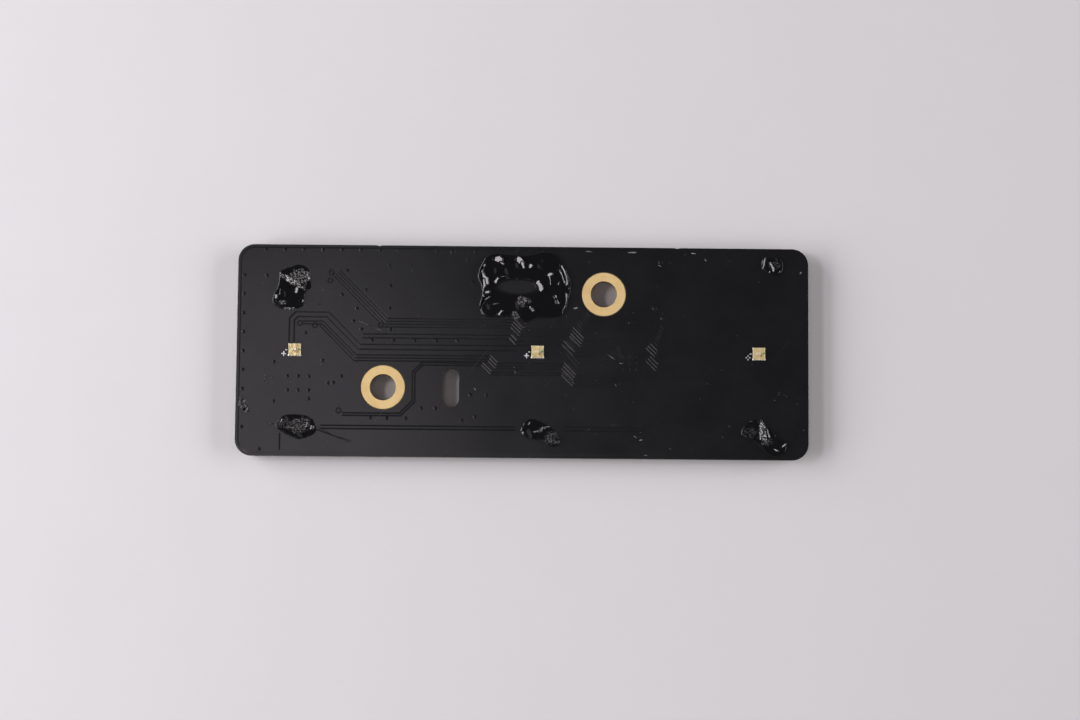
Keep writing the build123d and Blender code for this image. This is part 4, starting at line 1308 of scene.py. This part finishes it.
def add_camera(scene, settings, target):
    """The camera: it stands back from the target at its elevation and heading, and is then turned
    about its own axis."""
    camera = bpy.data.cameras.new("Camera")
    camera.lens, camera.sensor_width = settings.camera_lens, 36.0
    camera.clip_start = 1 * MM
    placed = bpy.data.objects.new("Camera", camera)
    e, a = settings.camera_elevation, settings.camera_heading
    back = Vector((cos(e) * sin(a), -cos(e) * cos(a), sin(e)))
    right = Vector((0, 0, 1)).cross(back).normalized()
    above = back.cross(right)
    c, s = cos(settings.camera_roll), sin(settings.camera_roll)
    across, upward = right * c + above * s, above * c - right * s
    turn = Matrix((across, upward, back)).transposed()
    placed.matrix_world = Matrix.Translation(target + back * settings.camera_distance) @ turn.to_4x4()
    scene.collection.objects.link(placed)
    scene.camera = placed


def floor_material(settings):
    """Pale card: a faint mottle and a fine tooth."""
    light = list(settings.floor_colour)
    return grained_material("Floor", light, [c * 0.985 for c in light], (0.6, 0.7), 60.0, 0.002 * MM)


def add_floor(scene, settings):
    """A flat grid just under the board."""
    half, under, count = 1.6, -0.02 * MM, 9
    x, y = np.meshgrid(np.linspace(-half, half, count), np.linspace(-half, half, count))
    points = np.dstack([x, y, np.full(x.shape, under)]).reshape(-1, 3)
    mesh = bpy.data.meshes.new("floor")
    mesh.from_pydata(points.tolist(), [], grid_quads(count, count).tolist())
    mesh.materials.append(floor_material(settings))
    floor = bpy.data.objects.new("floor", mesh)
    scene.collection.objects.link(floor)


def add_room(scene):
    """The room's own light: dim overhead and paler towards the horizon."""
    overhead, horizon = (0.068, 0.067, 0.073), (0.50, 0.49, 0.50)
    world = bpy.data.worlds.new("Room")
    world.use_nodes = True
    tree = world.node_tree
    sky = tree.nodes["Background"]
    place = add_node(tree, "ShaderNodeTexCoord")
    parts = add_node(tree, "ShaderNodeSeparateXYZ")
    rise = add_node(tree, "ShaderNodeMapRange", {"From Min": 0.05, "From Max": 0.60},
                    interpolation_type="SMOOTHSTEP")
    link = tree.links.new
    link(place.outputs["Generated"], parts.inputs["Vector"])
    link(parts.outputs["Z"], rise.inputs["Value"])
    link(blend_colours(tree, rise.outputs["Result"], horizon, overhead), sky.inputs["Color"])
    scene.world = world


class LEDBOARD_OT_stage(bpy.types.Operator):
    """Set the floor, the lamps, the room and the camera"""

    bl_idname = "led_board.stage"
    bl_label = "Stage"

    def execute(self, context):
        scene, settings = context.scene, context.scene.led_board_stage
        target = Vector((2.116 * MM, -0.988 * MM, BOARD_TOP))  # the middle of the view
        add_floor(scene, settings)
        add_lamps(scene, target)
        add_room(scene)
        add_camera(scene, settings, target)
        scene.view_settings.view_transform = "Standard"
        return {"FINISHED"}


# ---------------------------------------------------------------- the add-on


class LEDBOARD_PT_panel(bpy.types.Panel):
    """The steps that finish the board"""

    bl_label = "Led Board"
    bl_space_type = "VIEW_3D"
    bl_region_type = "UI"
    bl_category = "Led Board"

    def draw(self, context):
        for step in STEPS:
            self.layout.operator(step.bl_idname)
        for name, group in GROUPS.items():
            for setting in group.__annotations__:
                self.layout.prop(getattr(context.scene, name), setting)


GROUPS = {
    "led_board": BoardSettings,
    "led_board_leds": LedSettings,
    "led_board_adhesive": AdhesiveSettings,
    "led_board_stage": StageSettings,
}
STEPS = [LEDBOARD_OT_board, LEDBOARD_OT_leds, LEDBOARD_OT_adhesive, LEDBOARD_OT_scuffs, LEDBOARD_OT_underside,
         LEDBOARD_OT_stage]


def register():
    for made in [*GROUPS.values(), *STEPS, LEDBOARD_PT_panel]:
        bpy.utils.register_class(made)
    for name, group in GROUPS.items():
        setattr(bpy.types.Scene, name, PointerProperty(type=group))


def unregister():
    for name in GROUPS:
        delattr(bpy.types.Scene, name)
    for made in reversed([*GROUPS.values(), *STEPS, LEDBOARD_PT_panel]):
        bpy.utils.unregister_class(made)


def main():
    """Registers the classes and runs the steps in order."""
    register()
    for step in STEPS:
        category, name = step.bl_idname.split(".")
        getattr(getattr(bpy.ops, category), name)()


if __name__ == "__main__":
    main()
